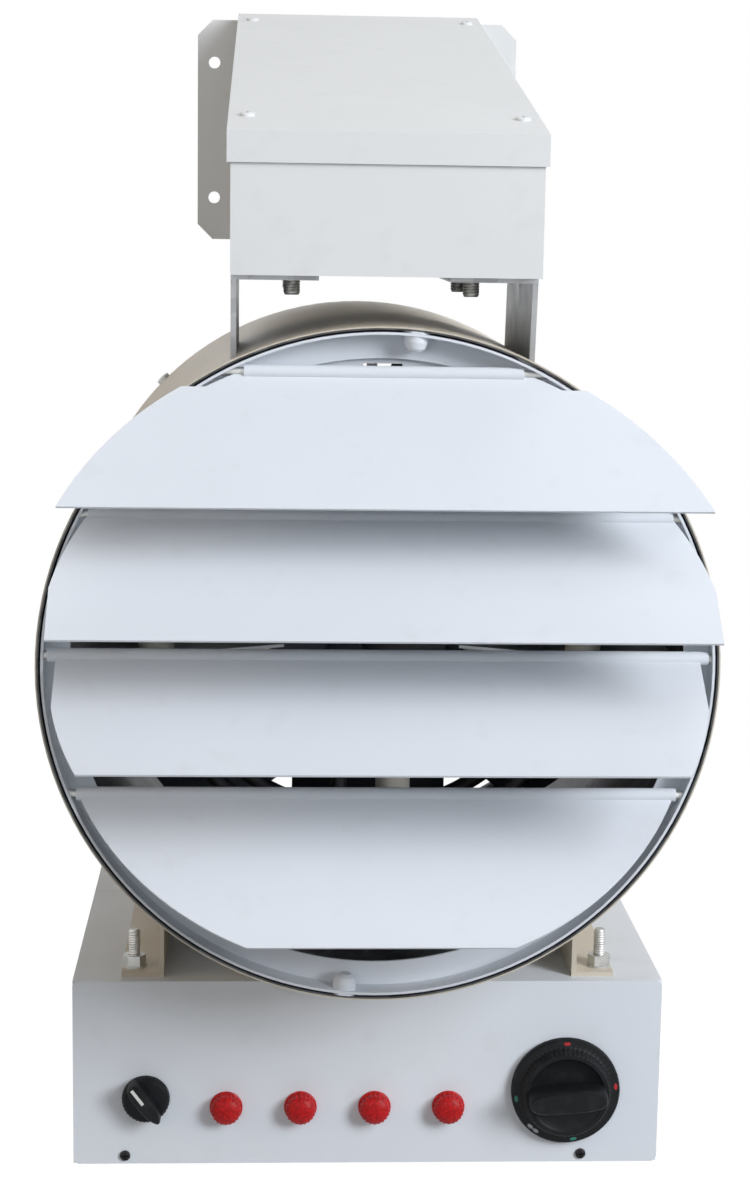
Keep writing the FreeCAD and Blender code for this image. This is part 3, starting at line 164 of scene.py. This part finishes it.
def powder_coat(name, colour, shade_radius=0.0):
    """Polyester powder coat on sheet steel: satin, with orange peel some 2 mm wide, clouds and thin soil.
    Inside a radius about the duct's axis it gives way to painted shade: a dark, spangled, half metallic grey."""
    material, tree, shader, place = finish(name, IOR=1.5, Specular_IOR_Level=0.35)
    cloud = put(tree, "TexNoise", {"Vector": place, "Scale": 1 / (90 * MM), "Detail": 3.0})
    tint = put(tree, "Mix", {"Factor": cloud, "A": dimmed(colour, 0.93), "B": rgba(colour)}, data_type="RGBA")
    grime = put(tree, "TexNoise", {"Vector": place, "Scale": 1 / (14 * MM), "Detail": 5.0})
    soil = put(tree, "MapRange", {"Value": grime, "From Min": 0.60, "From Max": 0.80, "To Max": 0.09})
    paint = put(tree, "Mix", {"Factor": soil, "A": tint, "B": rgba(linear("A9A59A"))}, data_type="RGBA")
    peel = put(tree, "TexNoise", {"Vector": place, "Scale": 1 / (2.2 * MM), "Detail": 1.0})
    put(tree, "Bump", {"Height": peel, "Distance": 0.03 * MM, "Strength": 0.5}, shader["Normal"])
    put(tree, "MapRange", {"Value": grime, "To Min": 0.45, "To Max": 0.62}, shader["Roughness"])
    if not shade_radius:
        tree.links.new(paint, shader["Base Color"])
        return material
    # Painted shade: inside the duct's bore the paint gives way to a dark grey.
    axis = put(tree, "VectorMath", {0: place, 1: (0, 0, -DUCT_AXIS)}, operation="ADD")
    flat = put(tree, "VectorMath", {0: axis, 1: (1, 0, 1)}, operation="MULTIPLY")
    radius = put(tree, "VectorMath", {0: flat}, operation="LENGTH", output="Value")
    inside_shade = put(tree, "Math", {0: radius, 1: shade_radius}, operation="LESS_THAN")
    spangle = put(tree, "TexVoronoi", {"Vector": place, "Scale": 1 / (9 * MM)}, output="Color")
    # This dark spangled grey is the painted shade inside the duct.
    steel = put(tree, "Mix", {"Factor": spangle, "A": rgba(linear("3A3B3D")), "B": rgba(linear("5C5E60"))},
                data_type="RGBA")
    put(tree, "Mix", {"Factor": inside_shade, "A": paint, "B": steel}, shader["Base Color"], data_type="RGBA")
    put(tree, "Math", {0: inside_shade, 1: 0.6}, shader["Metallic"], operation="MULTIPLY")
    return material


def zinc_plate():
    """Zinc on steel hardware: metallic, dulled by age, with spangle a few millimetres wide."""
    material, tree, shader, place = finish("zinc_plate", Metallic=1.0)
    spangle = put(tree, "TexVoronoi", {"Vector": place, "Scale": 1 / (3 * MM)}, output="Color")
    put(tree, "Mix", {"Factor": spangle, "A": rgba(linear("B2B3B1")), "B": rgba(linear("CBCCC9"))},
        shader["Base Color"], data_type="RGBA")
    wear = put(tree, "TexNoise", {"Vector": place, "Scale": 1 / (6 * MM), "Detail": 4.0})
    put(tree, "MapRange", {"Value": wear, "To Min": 0.44, "To Max": 0.62}, shader["Roughness"])
    return material


def galvanised_sheet():
    """Hot-dip galvanised sheet: dull grey metal, with spangle some 8 mm wide and a matt bloom."""
    material, tree, shader, place = finish("galvanised_sheet", Metallic=1.0)
    spangle = put(tree, "TexVoronoi", {"Vector": place, "Scale": 1 / (8 * MM)}, output="Color")
    put(tree, "Mix", {"Factor": spangle, "A": rgba(linear("9C9EA1")), "B": rgba(linear("B4B6B8"))},
        shader["Base Color"], data_type="RGBA")
    bloom = put(tree, "TexNoise", {"Vector": place, "Scale": 1 / (11 * MM), "Detail": 4.0})
    put(tree, "MapRange", {"Value": bloom, "To Min": 0.42, "To Max": 0.62}, shader["Roughness"])
    return material


def black_oxide():
    """Blackened steel screws: dark, dull metal with rubbed specks."""
    material, tree, shader, place = finish("black_oxide", Metallic=1.0)
    rubbed = put(tree, "TexNoise", {"Vector": place, "Scale": 1 / (1.5 * MM), "Detail": 4.0})
    put(tree, "Mix", {"Factor": rubbed, "A": rgba(linear("17181B")), "B": rgba(linear("3B3A3C"))},
        shader["Base Color"], data_type="RGBA")
    put(tree, "MapRange", {"Value": rubbed, "To Min": 0.35, "To Max": 0.55}, shader["Roughness"])
    return material


def heated_steel():
    """Sheath of a tubular element: steel dulled by heat, with brown and blue bands a few centimetres long."""
    material, tree, shader, place = finish("heated_steel", Metallic=0.8)
    band = put(tree, "TexNoise", {"Vector": place, "Scale": 1 / (35 * MM), "Detail": 2.0})
    put(tree, "Mix", {"Factor": band, "A": rgba(linear("2B2621")), "B": rgba(linear("4C4C52"))},
        shader["Base Color"], data_type="RGBA")
    scale = put(tree, "TexNoise", {"Vector": place, "Scale": 1 / (4 * MM), "Detail": 3.0})
    put(tree, "MapRange", {"Value": scale, "To Min": 0.42, "To Max": 0.66}, shader["Roughness"])
    return material


def fired_ceramic():
    """Unglazed steatite: cream, matt, with fine grain."""
    material, tree, shader, place = finish("fired_ceramic", IOR=1.52)
    stain = put(tree, "TexNoise", {"Vector": place, "Scale": 1 / (5 * MM), "Detail": 4.0})
    put(tree, "Mix", {"Factor": stain, "A": rgba(linear("D8D0BC")), "B": rgba(linear("F2EDE0"))},
        shader["Base Color"], data_type="RGBA")
    grain = put(tree, "TexNoise", {"Vector": place, "Scale": 1 / (0.8 * MM)})
    put(tree, "MapRange", {"Value": grain, "To Min": 0.55, "To Max": 0.75}, shader["Roughness"])
    put(tree, "Bump", {"Height": grain, "Distance": 0.05 * MM}, shader["Normal"])
    return material


def drawn_aluminium():
    """Deep-drawn aluminium can of a capacitor: lines along it, drawn coarser than they are so as to show."""
    material, tree, shader, place = finish("drawn_aluminium", Metallic=1.0)
    grain = put(tree, "Mapping", {"Vector": place, "Scale": (1 / (40 * MM), 1 / (1.2 * MM), 1 / (1.2 * MM))})
    lines = put(tree, "TexNoise", {"Vector": grain, "Scale": 1.0, "Detail": 3.0})
    put(tree, "Mix", {"Factor": lines, "A": rgba(linear("8D8F91")), "B": rgba(linear("B4B6B8"))},
        shader["Base Color"], data_type="RGBA")
    put(tree, "MapRange", {"Value": lines, "To Min": 0.30, "To Max": 0.48}, shader["Roughness"])
    return material


def stoved_enamel(name, dark, pale, sand):
    """Black stoved enamel on a motor case, and on the fan as painted shade inside the duct: semi-gloss,
    dusty, over sand marks of a given depth.
    """
    material, tree, shader, place = finish(name, IOR=1.5)
    dust = put(tree, "TexNoise", {"Vector": place, "Scale": 1 / (12 * MM), "Detail": 4.0})
    put(tree, "Mix", {"Factor": dust, "A": rgba(linear(dark)), "B": rgba(linear(pale))}, shader["Base Color"],
        data_type="RGBA")
    put(tree, "MapRange", {"Value": dust, "To Min": 0.34, "To Max": 0.52}, shader["Roughness"])
    grit = put(tree, "TexNoise", {"Vector": place, "Scale": 1 / (1.5 * MM), "Detail": 2.0})
    put(tree, "Bump", {"Height": grit, "Distance": sand}, shader["Normal"])
    return material


def moulded_black(colour):
    """Phenolic moulding: black, half matt, with a fine texture and a few rubbed patches."""
    material, tree, shader, place = finish("moulded_black", IOR=1.5, Specular_IOR_Level=0.15)
    rubbed = put(tree, "TexNoise", {"Vector": place, "Scale": 1 / (7 * MM), "Detail": 5.0})
    patch = put(tree, "MapRange", {"Value": rubbed, "From Min": 0.5, "From Max": 0.85})
    put(tree, "Mix", {"Factor": patch, "A": rgba(colour), "B": dimmed(colour, 2.4)}, shader["Base Color"],
        data_type="RGBA")
    put(tree, "MapRange", {"Value": rubbed, "To Min": 0.36, "To Max": 0.54}, shader["Roughness"])
    skin = put(tree, "TexNoise", {"Vector": place, "Scale": 1 / (0.7 * MM)})
    put(tree, "Bump", {"Height": skin, "Distance": 0.03 * MM}, shader["Normal"])
    return material


def red_acrylic(colour):
    """Moulded acrylic lens: red, dulled by prisms some 1.5 mm wide, with painted shade darkening the red
    along their edges.
    """
    material, tree, shader, place = finish("red_acrylic", IOR=1.49, Roughness=0.42, Specular_IOR_Level=0.22)
    prism = put(tree, "TexVoronoi", {"Vector": place, "Scale": 1 / (1.5 * MM)}, output="Distance")
    # Painted shade: the red darkens towards the edge of each prism.
    edge = put(tree, "MapRange", {"Value": prism, "From Min": 0.2, "From Max": 0.75})
    put(tree, "Mix", {"Factor": edge, "A": rgba(colour), "B": dimmed(colour, 0.62)}, shader["Base Color"],
        data_type="RGBA")
    put(tree, "Bump", {"Height": prism, "Distance": 0.3 * MM, "Strength": 0.22}, shader["Normal"])
    return material


def pale_nylon():
    """Natural nylon of terminals and lamp holders: ivory, matt."""
    material, tree, shader, place = finish("pale_nylon", IOR=1.53, Subsurface_Weight=0.05)
    cloud = put(tree, "TexNoise", {"Vector": place, "Scale": 1 / (8 * MM), "Detail": 3.0})
    put(tree, "Mix", {"Factor": cloud, "A": rgba(linear("D6D2C4")), "B": rgba(linear("E6E3D9"))},
        shader["Base Color"], data_type="RGBA")
    put(tree, "MapRange", {"Value": cloud, "To Min": 0.40, "To Max": 0.55}, shader["Roughness"])
    return material


def mark_paint(name, code):
    """Thin paint of a printed mark, and of the dial's painted highlights: matt, slightly uneven."""
    material, tree, shader, place = finish(name, IOR=1.5)
    wear = put(tree, "TexNoise", {"Vector": place, "Scale": 1 / (1.2 * MM), "Detail": 3.0})
    put(tree, "Mix", {"Factor": wear, "A": dimmed(linear(code), 0.7), "B": rgba(linear(code))},
        shader["Base Color"], data_type="RGBA")
    put(tree, "MapRange", {"Value": wear, "To Min": 0.45, "To Max": 0.60}, shader["Roughness"])
    return material


def join(*shells):
    """Put several shells, each with vertices and faces, into one."""
    points, faces, count = [], [], 0
    for shell, quads in shells:
        points.append(shell)
        faces += [tuple(corner + count for corner in face) for face in quads]
        count += len(shell)
    return np.concatenate(points), faces


def web(grid, round_u=False, round_v=False):
    """Shell of quads over a grid of points, closed along u or v where it comes round."""
    rows, columns = grid.shape[:2]
    number = np.arange(rows * columns).reshape(rows, columns)
    if round_u:
        number = np.vstack([number, number[:1]])
    if round_v:
        number = np.hstack([number, number[:, :1]])
    quads = np.stack([number[:-1, :-1], number[1:, :-1], number[1:, 1:], number[:-1, 1:]], axis=-1)
    return grid.reshape(-1, 3), [tuple(quad) for quad in quads.reshape(-1, 4).tolist()]


def lathe(profile, segments=48, ribs=0, depth=0.0):
    """Turned shell about Y: point (r cos t, y, r sin t) for each profile pair (y, r), its radius less
    depth * (1 - cos(ribs t)) / 2 where the profile's third number lets the ribs show."""
    rows = np.array([(*row, 0.0)[:3] for row in profile])
    angle = np.linspace(0, 2 * np.pi, segments, endpoint=False)
    dip = depth * (1 - np.cos(ribs * angle)) / 2
    radius = rows[:, 1:2] - rows[:, 2:3] * dip[None, :]
    grid = np.stack([radius * np.cos(angle), np.repeat(rows[:, :1], segments, 1), radius * np.sin(angle)],
                    axis=-1)
    return web(grid, round_v=True)


def turn_y(shell, degrees):
    """Turn a shell about Y, clockwise seen from the front."""
    matrix = np.array(Matrix.Rotation(math.radians(degrees), 3, "Y"))
    return shell[0] @ matrix.T, shell[1]


def lay(shell, matrix):
    """Carry a shell by a 4 by 4 matrix."""
    whole = np.array(matrix)
    return shell[0] @ whole[:3, :3].T + whole[:3, 3], shell[1]


def shift(shell, x, y, z):
    """Carry a shell to a place."""
    return shell[0] + np.array([x, y, z]), shell[1]


def make(name, shell, material, body, stands_for=()):
    """Make a piece: merge its poles, face it outwards, smooth it up to its edges, let it ride on a body."""
    mesh = bpy.data.meshes.new(name)
    mesh.from_pydata(shell[0].tolist(), [], shell[1])
    work = bmesh.new()
    work.from_mesh(mesh)
    bmesh.ops.remove_doubles(work, verts=work.verts, dist=1e-6)
    bmesh.ops.dissolve_degenerate(work, edges=work.edges, dist=1e-7)
    bmesh.ops.recalc_face_normals(work, faces=work.faces)
    work.to_mesh(mesh)
    work.free()
    mesh.polygons.foreach_set("use_smooth", np.ones(len(mesh.polygons), bool))
    mesh.set_sharp_from_angle(angle=math.radians(38))
    mesh.materials.append(material)
    piece = bpy.data.objects.new(name, mesh)
    bpy.context.collection.objects.link(piece)
    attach(piece, body)
    if stands_for:
        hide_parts(*stands_for)
    return piece


def middle(node):
    """Centre of a node's box, with its lowest and highest corners."""
    low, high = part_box(node)
    return (low + high) / 2, low, high


def choices():
    """What the user may change."""
    return bpy.context.scene.heater


class HEATER_OT_finishes(bpy.types.Operator):
    """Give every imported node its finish"""

    bl_idname = "heater.finishes"
    bl_label = "Finishes"

    def execute(self, context):
        colours = choices().colours
        by_slot = {
            "white_paint": powder_coat("powder_coat", tuple(colours.paint)),
            "zinc": zinc_plate(),
            "dark_screw": black_oxide(),
            "element_sheath": heated_steel(),
            "ceramic": fired_ceramic(),
            # The fan's near-black is painted shade, standing for the shade inside the duct.
            "fan_sheet": stoved_enamel("fan_enamel_painted_shade", "2A2D34", "3E4148", 0.02 * MM),
            "motor_paint": stoved_enamel("motor_enamel", "24262B", "383A40", 0.08 * MM),
            "black_plastic": moulded_black(tuple(colours.knob)),
            "red_lens": red_acrylic(tuple(colours.lens)),
            "pale_plastic": pale_nylon(),
            "capacitor_can": drawn_aluminium(),
        }
        # Warm, darker copy of the white paint, as painted shade for the saddles and the duct's outside.
        warm_shade = powder_coat("powder_coat_warm_shade", tuple(colours.warm_shade_paint))
        bracket = powder_coat("powder_coat_bracket", tuple(colours.bracket_paint))
        by_node = {**dict.fromkeys(WARM_SHADE_NODES, warm_shade), **dict.fromkeys(GALVANISED_AND_SHADE_NODES, galvanised_sheet()),
                   **dict.fromkeys(BRACKET_NODES, bracket)}
        # The duct's outside takes the warm painted shade, and its inside the dark painted shade.
        by_node["duct_shell"] = powder_coat("powder_coat_outside", tuple(colours.warm_shade_paint), DUCT_BORE)
        for part in frame["record"]["subparts"]:
            material = by_node.get(part["node"], by_slot[part["material_slot"]])
            for slot in frame["nodes"][part["node"]].material_slots:
                slot.material = material
        return {"FINISHED"}


class HEATER_OT_lamps(bpy.types.Operator):
    """Fluted domed lenses on the panel"""

    bl_idname = "heater.lamps"
    bl_label = "Lamps"

    def execute(self, context):
        red = bpy.data.materials["red_acrylic"]
        for number in range(1, 5):
            node = "lamp_lens_%d" % number
            centre, low, high = middle(node)
            radius, proud = (high.x - low.x) / 2, high.y - low.y
            steps = ((0, 0), (0, 1), (-0.12, 1), (-0.15, 0.95), (-0.17, 0.93, 1), (-0.58, 0.93, 1),
                     (-0.68, 0.89, 1), (-0.77, 0.81), (-0.86, 0.67), (-0.94, 0.46), (-0.985, 0.22), (-1, 0))
            profile = [(row[0] * proud, row[1] * radius, *row[2:]) for row in steps]
            shell = lathe(profile, segments=120, ribs=choices().sizes.lens_flutes, depth=0.5 * MM)
            make("lens_%d" % number, shift(shell, centre.x, high.y, centre.z), red, "housing",
                 (node,))
        return {"FINISHED"}


def grip(length, width, height, beak, segments=72):
    """Finger bar on the plane y = 0, rising to y = -height: its plan is |x / a|^p + |z / b|^p = 1, drawn
    to a point by the beak on the right, and each level is drawn in by a rounding that grows to the top."""
    angle = np.linspace(0, 2 * np.pi, segments, endpoint=False)
    power = 0.55
    x = np.sign(np.cos(angle)) * np.abs(np.cos(angle)) ** power
    z = np.sign(np.sin(angle)) * np.abs(np.sin(angle)) ** power
    taper = 1 - beak * np.clip(x, 0, 1) ** 2.2
    level = np.array([0, 0.5, 0.8, 0.9, 0.96, 1.0, 1.0])
    draw = np.array([1, 0.97, 0.94, 0.90, 0.84, 0.74, 0.0])
    inset = (1 - draw) * width / 2
    half = np.clip(length / 2 - inset, 0, None)
    half[-1] = 0
    grid = np.stack([half[:, None] * x, np.repeat(-height * level[:, None], segments, 1),
                     (width / 2 * draw)[:, None] * (z * taper)], axis=-1)
    return web(grid, round_v=True)


def strip(length, width, thick, start):
    """Flat bar along x from its start, with its face at y = -thick and its back at y = 0."""
    x = np.array([start, start + length])
    z = np.array([-width / 2, width / 2])
    corners = np.array([[a, b, c] for b in (0, -thick) for a in x for c in z])
    faces = [(0, 1, 3, 2), (4, 6, 7, 5), (0, 4, 5, 1), (2, 3, 7, 6), (0, 2, 6, 4), (1, 5, 7, 3)]
    return corners, faces


class HEATER_OT_switch(bpy.types.Operator):
    """Switch knob with a beaked bar and a white pointer"""

    bl_idname = "heater.switch"
    bl_label = "Switch knob"

    def execute(self, context):
        black = bpy.data.materials["moulded_black"]
        white = mark_paint("mark_white", "ECECE8")
        low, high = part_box("switch_knob")
        centre, _, _ = middle("switch_spindle")
        skirt = 4 * MM
        radius, depth = (high.x - low.x) / 2, high.y - low.y
        profile = [(0, 0), (0, radius), (-0.5 * skirt, radius, 1), (-0.8 * skirt, radius * 0.97, 1),
                   (-skirt, radius * 0.88), (-skirt, 0)]
        disc = lathe(profile, segments=144, ribs=36, depth=0.35 * MM)
        bar = grip(2 * radius, width=8.5 * MM, height=depth, beak=0.62)
        shell = turn_y(join(disc, bar), SWITCH_TURN)
        make("switch_grip", shift(shell, centre.x, high.y, centre.z), black, "switch",
             ("switch_knob",))
        line = strip(length=radius * 0.78, width=1.6 * MM, thick=0.12 * MM, start=-radius * 0.9)
        line = shift(line, 0, -depth, 0)
        pointer = shift(turn_y(line, SWITCH_TURN), centre.x, high.y, centre.z)
        make("switch_pointer", pointer, white, "switch")
        return {"FINISHED"}


def dash(length, width, thick):
    """Oval of paint along x with its face at y = -thick: x = a cos t, z = b sin t."""
    points, faces = lathe([(0, 0), (0, 0.5), (-thick, 0.45), (-thick, 0)], 20)
    return points * np.array([length, 1, width]), faces


class HEATER_OT_dial(bpy.types.Operator):
    """Thermostat knob with a ribbed edge, a dished face, a finger bar, coloured marks and pale painted
    highlights
    """

    bl_idname = "heater.dial"
    bl_label = "Thermostat knob"

    def execute(self, context):
        black = bpy.data.materials["moulded_black"]
        low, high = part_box("thermostat_knob")
        centre, _, _ = middle("thermostat_spindle")
        radius, depth = (high.x - low.x) / 2, high.y - low.y
        rise = 9 * MM
        steps = ((0, 0), (0, 1), (-0.30, 1), (-0.40, 0.975), (-0.44, 0.86), (-0.50, 0.845, 1),
                 (-0.94, 0.80, 1), (-1, 0.77), (-1, 0.70), (-0.90, 0.66), (-0.86, 0.40), (-0.86, 0))
        profile = [(row[0] * rise, row[1] * radius, *row[2:]) for row in steps]
        disc = lathe(profile, segments=240, ribs=choices().sizes.dial_ribs, depth=0.5 * MM)
        bar = grip(radius * 1.46, width=13 * MM, height=depth, beak=0.15)
        shell = turn_y(join(disc, bar), DIAL_TURN)
        make("dial_grip", shift(shell, centre.x, high.y, centre.z), black, "thermostat",
             ("thermostat_knob",))
        # The pale spots at the lower left are painted highlights of the glossy knob; the red and green are
        # print.
        marks = {"red": ("C2262A", (0, 84)), "green": ("2F7F6C", (170, 262)), "pale": ("C9CDD6", (216, 224))}
        for name, (code, angles) in marks.items():
            paint = mark_paint("mark_" + name, code)
            spot = dash(length=3.6 * MM, width=1.8 * MM, thick=0.15 * MM)
            spot = shift(spot, 0, -0.415 * rise, radius * 0.92)
            spots = join(*[turn_y(spot, angle) for angle in angles])
            make("dial_marks_" + name, shift(spots, centre.x, high.y, centre.z), paint, "thermostat")
        return {"FINISHED"}


def threaded(radius, start, end, pitch, segments=24):
    """Threaded rod about Z: its radius is r - 0.3 p (1 - tri(z / p - t / 2 pi)), a triangle wave along a
    helix, drawn in at both ends as a lead."""
    levels = int((end - start) / pitch * 6)
    z = np.linspace(start, end, levels)
    angle = np.linspace(0, 2 * np.pi, segments, endpoint=False)
    phase = (z[:, None] / pitch - angle[None, :] / (2 * np.pi)) % 1
    wave = 1 - np.abs(2 * phase - 1)
    lead = np.clip(np.minimum(z - start, end - z) / pitch, 0, 1)[:, None]
    r = radius - 0.3 * pitch * (1 - wave * lead) - 0.1 * radius * (1 - lead)
    grid = np.stack([r * np.cos(angle), r * np.sin(angle), np.repeat(z[:, None], segments, 1)], axis=-1)
    low, high = grid[:1] * [0, 0, 1], grid[-1:] * [0, 0, 1]
    return web(np.concatenate([low, grid, high]), round_v=True)


def hexagonal(width, start, end, chamfer=0.08, segments=48):
    """Six-sided head about Z: its radius is w / 2 / cos(t - nearest flat), cut by a cone at the top."""
    angle = np.linspace(0, 2 * np.pi, segments, endpoint=False)
    flat = (angle + np.pi / 6) % (np.pi / 3) - np.pi / 6
    corner = width / 2 / np.cos(flat)
    cone = np.minimum(corner, width / 2 * 1.02)
    pole = np.zeros(segments)
    rows = [(start, pole), (start, corner), (end - chamfer * width, corner), (end, cone * 0.97), (end, pole)]
    rings = [np.stack([r * np.cos(angle), r * np.sin(angle), np.full(segments, z)], axis=-1) for z, r in rows]
    return web(np.array(rings), round_v=True)


class HEATER_OT_threads(bpy.types.Operator):
    """Threaded studs of the saddles and threaded bolts of the hangers"""

    bl_idname = "heater.threads"
    bl_label = "Studs and bolts"

    def execute(self, context):
        zinc = bpy.data.materials["zinc_plate"]
        pitch = choices().sizes.thread_pitch
        low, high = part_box("saddle_studs")
        radius = 3 * MM
        stud = threaded(radius, low.z, high.z, pitch)
        spots = [(x, y) for x in (low.x + radius, high.x - radius) for y in (low.y + radius, high.y - radius)]
        make("stud_threads", join(*[shift(stud, x, y, 0) for x, y in spots]), zinc, "housing",
             ("saddle_studs",))
        low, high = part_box("hanger_bolts")
        head, flats, shank = 5.3 * MM, 13 * MM, 4 * MM
        bolt = join(threaded(shank, low.z, high.z - head, pitch), hexagonal(flats, high.z - head, high.z))
        corner = flats / math.sqrt(3)
        rows = (low.y + flats / 2, high.y - flats / 2)
        spots = [(x, y) for x in (low.x + corner, high.x - corner) for y in rows]
        make("hanger_threads", join(*[shift(bolt, x, y, 0) for x, y in spots]), zinc, "housing",
             ("hanger_bolts",))
        return {"FINISHED"}


def pan_head(radius, height, shank, length, segments=64):
    """Screw about Z with its seat at z = 0: its face is h sqrt(1 - 0.6 (r / R)^2), sunk by a cross whose arms
    narrow towards their ends, over a plain shank below."""
    angle = np.linspace(0, 2 * np.pi, segments, endpoint=False)
    r = np.linspace(1, 0, 20)[:, None] * radius
    x, y = r * np.cos(angle), r * np.sin(angle)
    crown = height * np.sqrt(1 - 0.6 * (r / radius) ** 2) * np.ones_like(angle)
    arm = np.minimum(np.abs(x), np.abs(y)) < radius * 0.13 * (1.2 - r / radius)
    deep = arm & (r < 0.62 * radius)
    face = np.stack([x, y, crown - deep * 0.55 * height], axis=-1)
    rows = [(-length, 0), (-length, shank), (0, shank), (0, radius)]
    under = [np.stack([w * np.cos(angle), w * np.sin(angle), np.full(segments, z)], axis=-1) for z, w in rows]
    return web(np.concatenate([np.array(under), face]), round_v=True)


class HEATER_OT_screws(bpy.types.Operator):
    """Cross-recess screws of the lid and the panel"""

    bl_idname = "heater.screws"
    bl_label = "Screws"

    def execute(self, context):
        low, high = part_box("lid_screws")
        lid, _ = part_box("bracket_lid")
        head, cap = 3.4 * MM, 1.8 * MM
        slope, lip = math.radians(12.1), 14 * MM
        rows = (-351 * MM, -33 * MM)
        screw = pan_head(head, cap, shank=2 * MM, length=6 * MM)
        shells = []
        for x in (low.x + head, high.x - head):
            for y in rows:
                z = lid.z + lip + (y - lid.y) * math.tan(slope)
                turn = Matrix.Translation((x, y, z)) @ Matrix.Rotation(slope, 4, "X")
                shells.append(lay(screw, turn))
        paint = bpy.data.materials["powder_coat_bracket"]
        make("lid_screw_heads", join(*shells), paint, "housing", ("lid_screws",))
        low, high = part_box("panel_screws")
        head = (high.z - low.z) / 2
        panel_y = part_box("control_panel")[0].y
        level = (low.z + high.z) / 2
        screw = pan_head(head, panel_y - low.y, shank=1.5 * MM, length=6 * MM)
        screw = lay(screw, Matrix.Rotation(math.pi / 2, 4, "X"))
        shells = [shift(screw, x, panel_y, level) for x in (low.x + head, high.x - head)]
        black = bpy.data.materials["black_oxide"]
        make("panel_screw_heads", join(*shells), black, "housing", ("panel_screws",))
        return {"FINISHED"}


class HEATER_OT_stage(bpy.types.Operator):
    """Floor, soft light, white surroundings and the camera"""

    bl_idname = "heater.stage"
    bl_label = "Stage"

    def execute(self, context):
        scene = context.scene
        scene.view_settings.view_transform = "Standard"
        self.surround(scene)
        self.floor()
        for row in LIGHTS:
            self.light(*row)
        self.camera(scene)
        return {"FINISHED"}

    def surround(self, scene):
        """White where the camera and glossy rays look, and a soft grey light for the rest."""
        world = bpy.data.worlds.new("studio")
        scene.world = world
        world.use_nodes = True
        tree = world.node_tree
        seen = self.looked_at(tree)
        strength = tree.nodes["Background"].inputs["Strength"]
        tree.nodes["Background"].inputs["Color"].default_value = (1, 1, 1, 1)
        put(tree, "MapRange", {"Value": seen, "To Min": 0.14, "To Max": 1.0}, strength)

    def looked_at(self, tree):
        """One for rays from the camera, off a glossy surface or through a clear one, nought for the rest."""
        camera = put(tree, "LightPath", output="Is Camera Ray")
        glossy = put(tree, "LightPath", output="Is Glossy Ray")
        clear = put(tree, "LightPath", output="Is Transmission Ray")
        either = put(tree, "Math", {0: camera, 1: glossy}, operation="MAXIMUM")
        return put(tree, "Math", {0: either, 1: clear}, operation="MAXIMUM")

    def floor(self):
        """Pale floor far below the heater, white to the camera but for the shadow on it."""
        half, level = 9, -2.6
        corners = [(-half, -half, level), (half, -half, level), (half, half, level), (-half, half, level)]
        mesh = bpy.data.meshes.new("floor")
        mesh.from_pydata(corners, [], [(0, 1, 2, 3)])
        floor = bpy.data.objects.new("floor", mesh)
        bpy.context.collection.objects.link(floor)
        material = bpy.data.materials.new("pale_floor")
        material.use_nodes = True
        tree = material.node_tree
        shader = tree.nodes["Principled BSDF"]
        shader.inputs["Base Color"].default_value = rgba(linear("F2F2F0"))
        shader.inputs["Roughness"].default_value = 0.9
        share = put(tree, "Math", {0: self.looked_at(tree), 1: 0.9}, operation="MULTIPLY")
        glow = put(tree, "Emission", {"Color": (1, 1, 1, 1), "Strength": 1.12})
        surface = tree.nodes["Material Output"].inputs["Surface"]
        put(tree, "MixShader", {0: share, 1: shader.outputs["BSDF"], 2: glow}, surface)
        mesh.materials.append(material)

    def light(self, name, place, target, size, power, code):
        """Square soft light of a colour that faces a target."""
        data = bpy.data.lights.new(name, "AREA")
        data.size, data.energy, data.color = size, power, linear(code)
        lamp = bpy.data.objects.new(name, data)
        lamp.location = place
        lamp.rotation_euler = (Vector(target) - Vector(place)).to_track_quat("-Z", "Y").to_euler()
        bpy.context.collection.objects.link(lamp)

    def camera(self, scene):
        """Camera of the photograph: from the left of the middle, looking down, slightly rolled."""
        place = (-0.05345, -1.4079, -0.05014)
        yaw, pitch, roll = math.radians(2.81), math.radians(9.44), math.radians(0.86)
        ahead = Vector((math.sin(yaw) * math.cos(pitch), math.cos(yaw) * math.cos(pitch), -math.sin(pitch)))
        right = Vector((math.cos(yaw), -math.sin(yaw), 0))
        over = right.cross(ahead)
        across = math.cos(roll) * right + math.sin(roll) * over
        over = math.cos(roll) * over - math.sin(roll) * right
        data = bpy.data.cameras.new("camera")
        data.sensor_fit, data.sensor_height, data.sensor_width = "VERTICAL", 36, 36
        data.lens = 68.8
        camera = bpy.data.objects.new("camera", data)
        turn = Matrix((across, over, -ahead)).transposed()
        camera.matrix_world = Matrix.Translation(place) @ turn.to_4x4()
        bpy.context.collection.objects.link(camera)
        scene.camera = camera


OPERATORS = (HEATER_OT_finishes, HEATER_OT_lamps, HEATER_OT_switch, HEATER_OT_dial, HEATER_OT_threads,
             HEATER_OT_screws, HEATER_OT_stage)


class HEATER_PT_pieces(bpy.types.Panel):
    """Lists the heater's pieces"""

    bl_idname = "HEATER_PT_pieces"
    bl_label = "Wall heater"
    bl_space_type = "VIEW_3D"
    bl_region_type = "UI"
    bl_category = "Heater"

    def draw(self, context):
        layout = self.layout
        for group in (context.scene.heater.colours, context.scene.heater.sizes):
            for name in group.__annotations__:
                layout.prop(group, name)
        for operator in OPERATORS:
            layout.operator(operator.bl_idname)


CLASSES = (HeaterColours, HeaterSizes, HeaterSettings, *OPERATORS, HEATER_PT_pieces)


def register():
    """Register the classes and hang the settings on the scene."""
    for kind in CLASSES:
        bpy.utils.register_class(kind)
    bpy.types.Scene.heater = PointerProperty(type=HeaterSettings)


def unregister():
    """Take the settings and the classes away again."""
    del bpy.types.Scene.heater
    for kind in reversed(CLASSES):
        bpy.utils.unregister_class(kind)


def main():
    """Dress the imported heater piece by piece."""
    register()
    for operator in OPERATORS:
        family, name = operator.bl_idname.split(".")
        getattr(getattr(bpy.ops, family), name)()


if __name__ == "__main__":
    main()
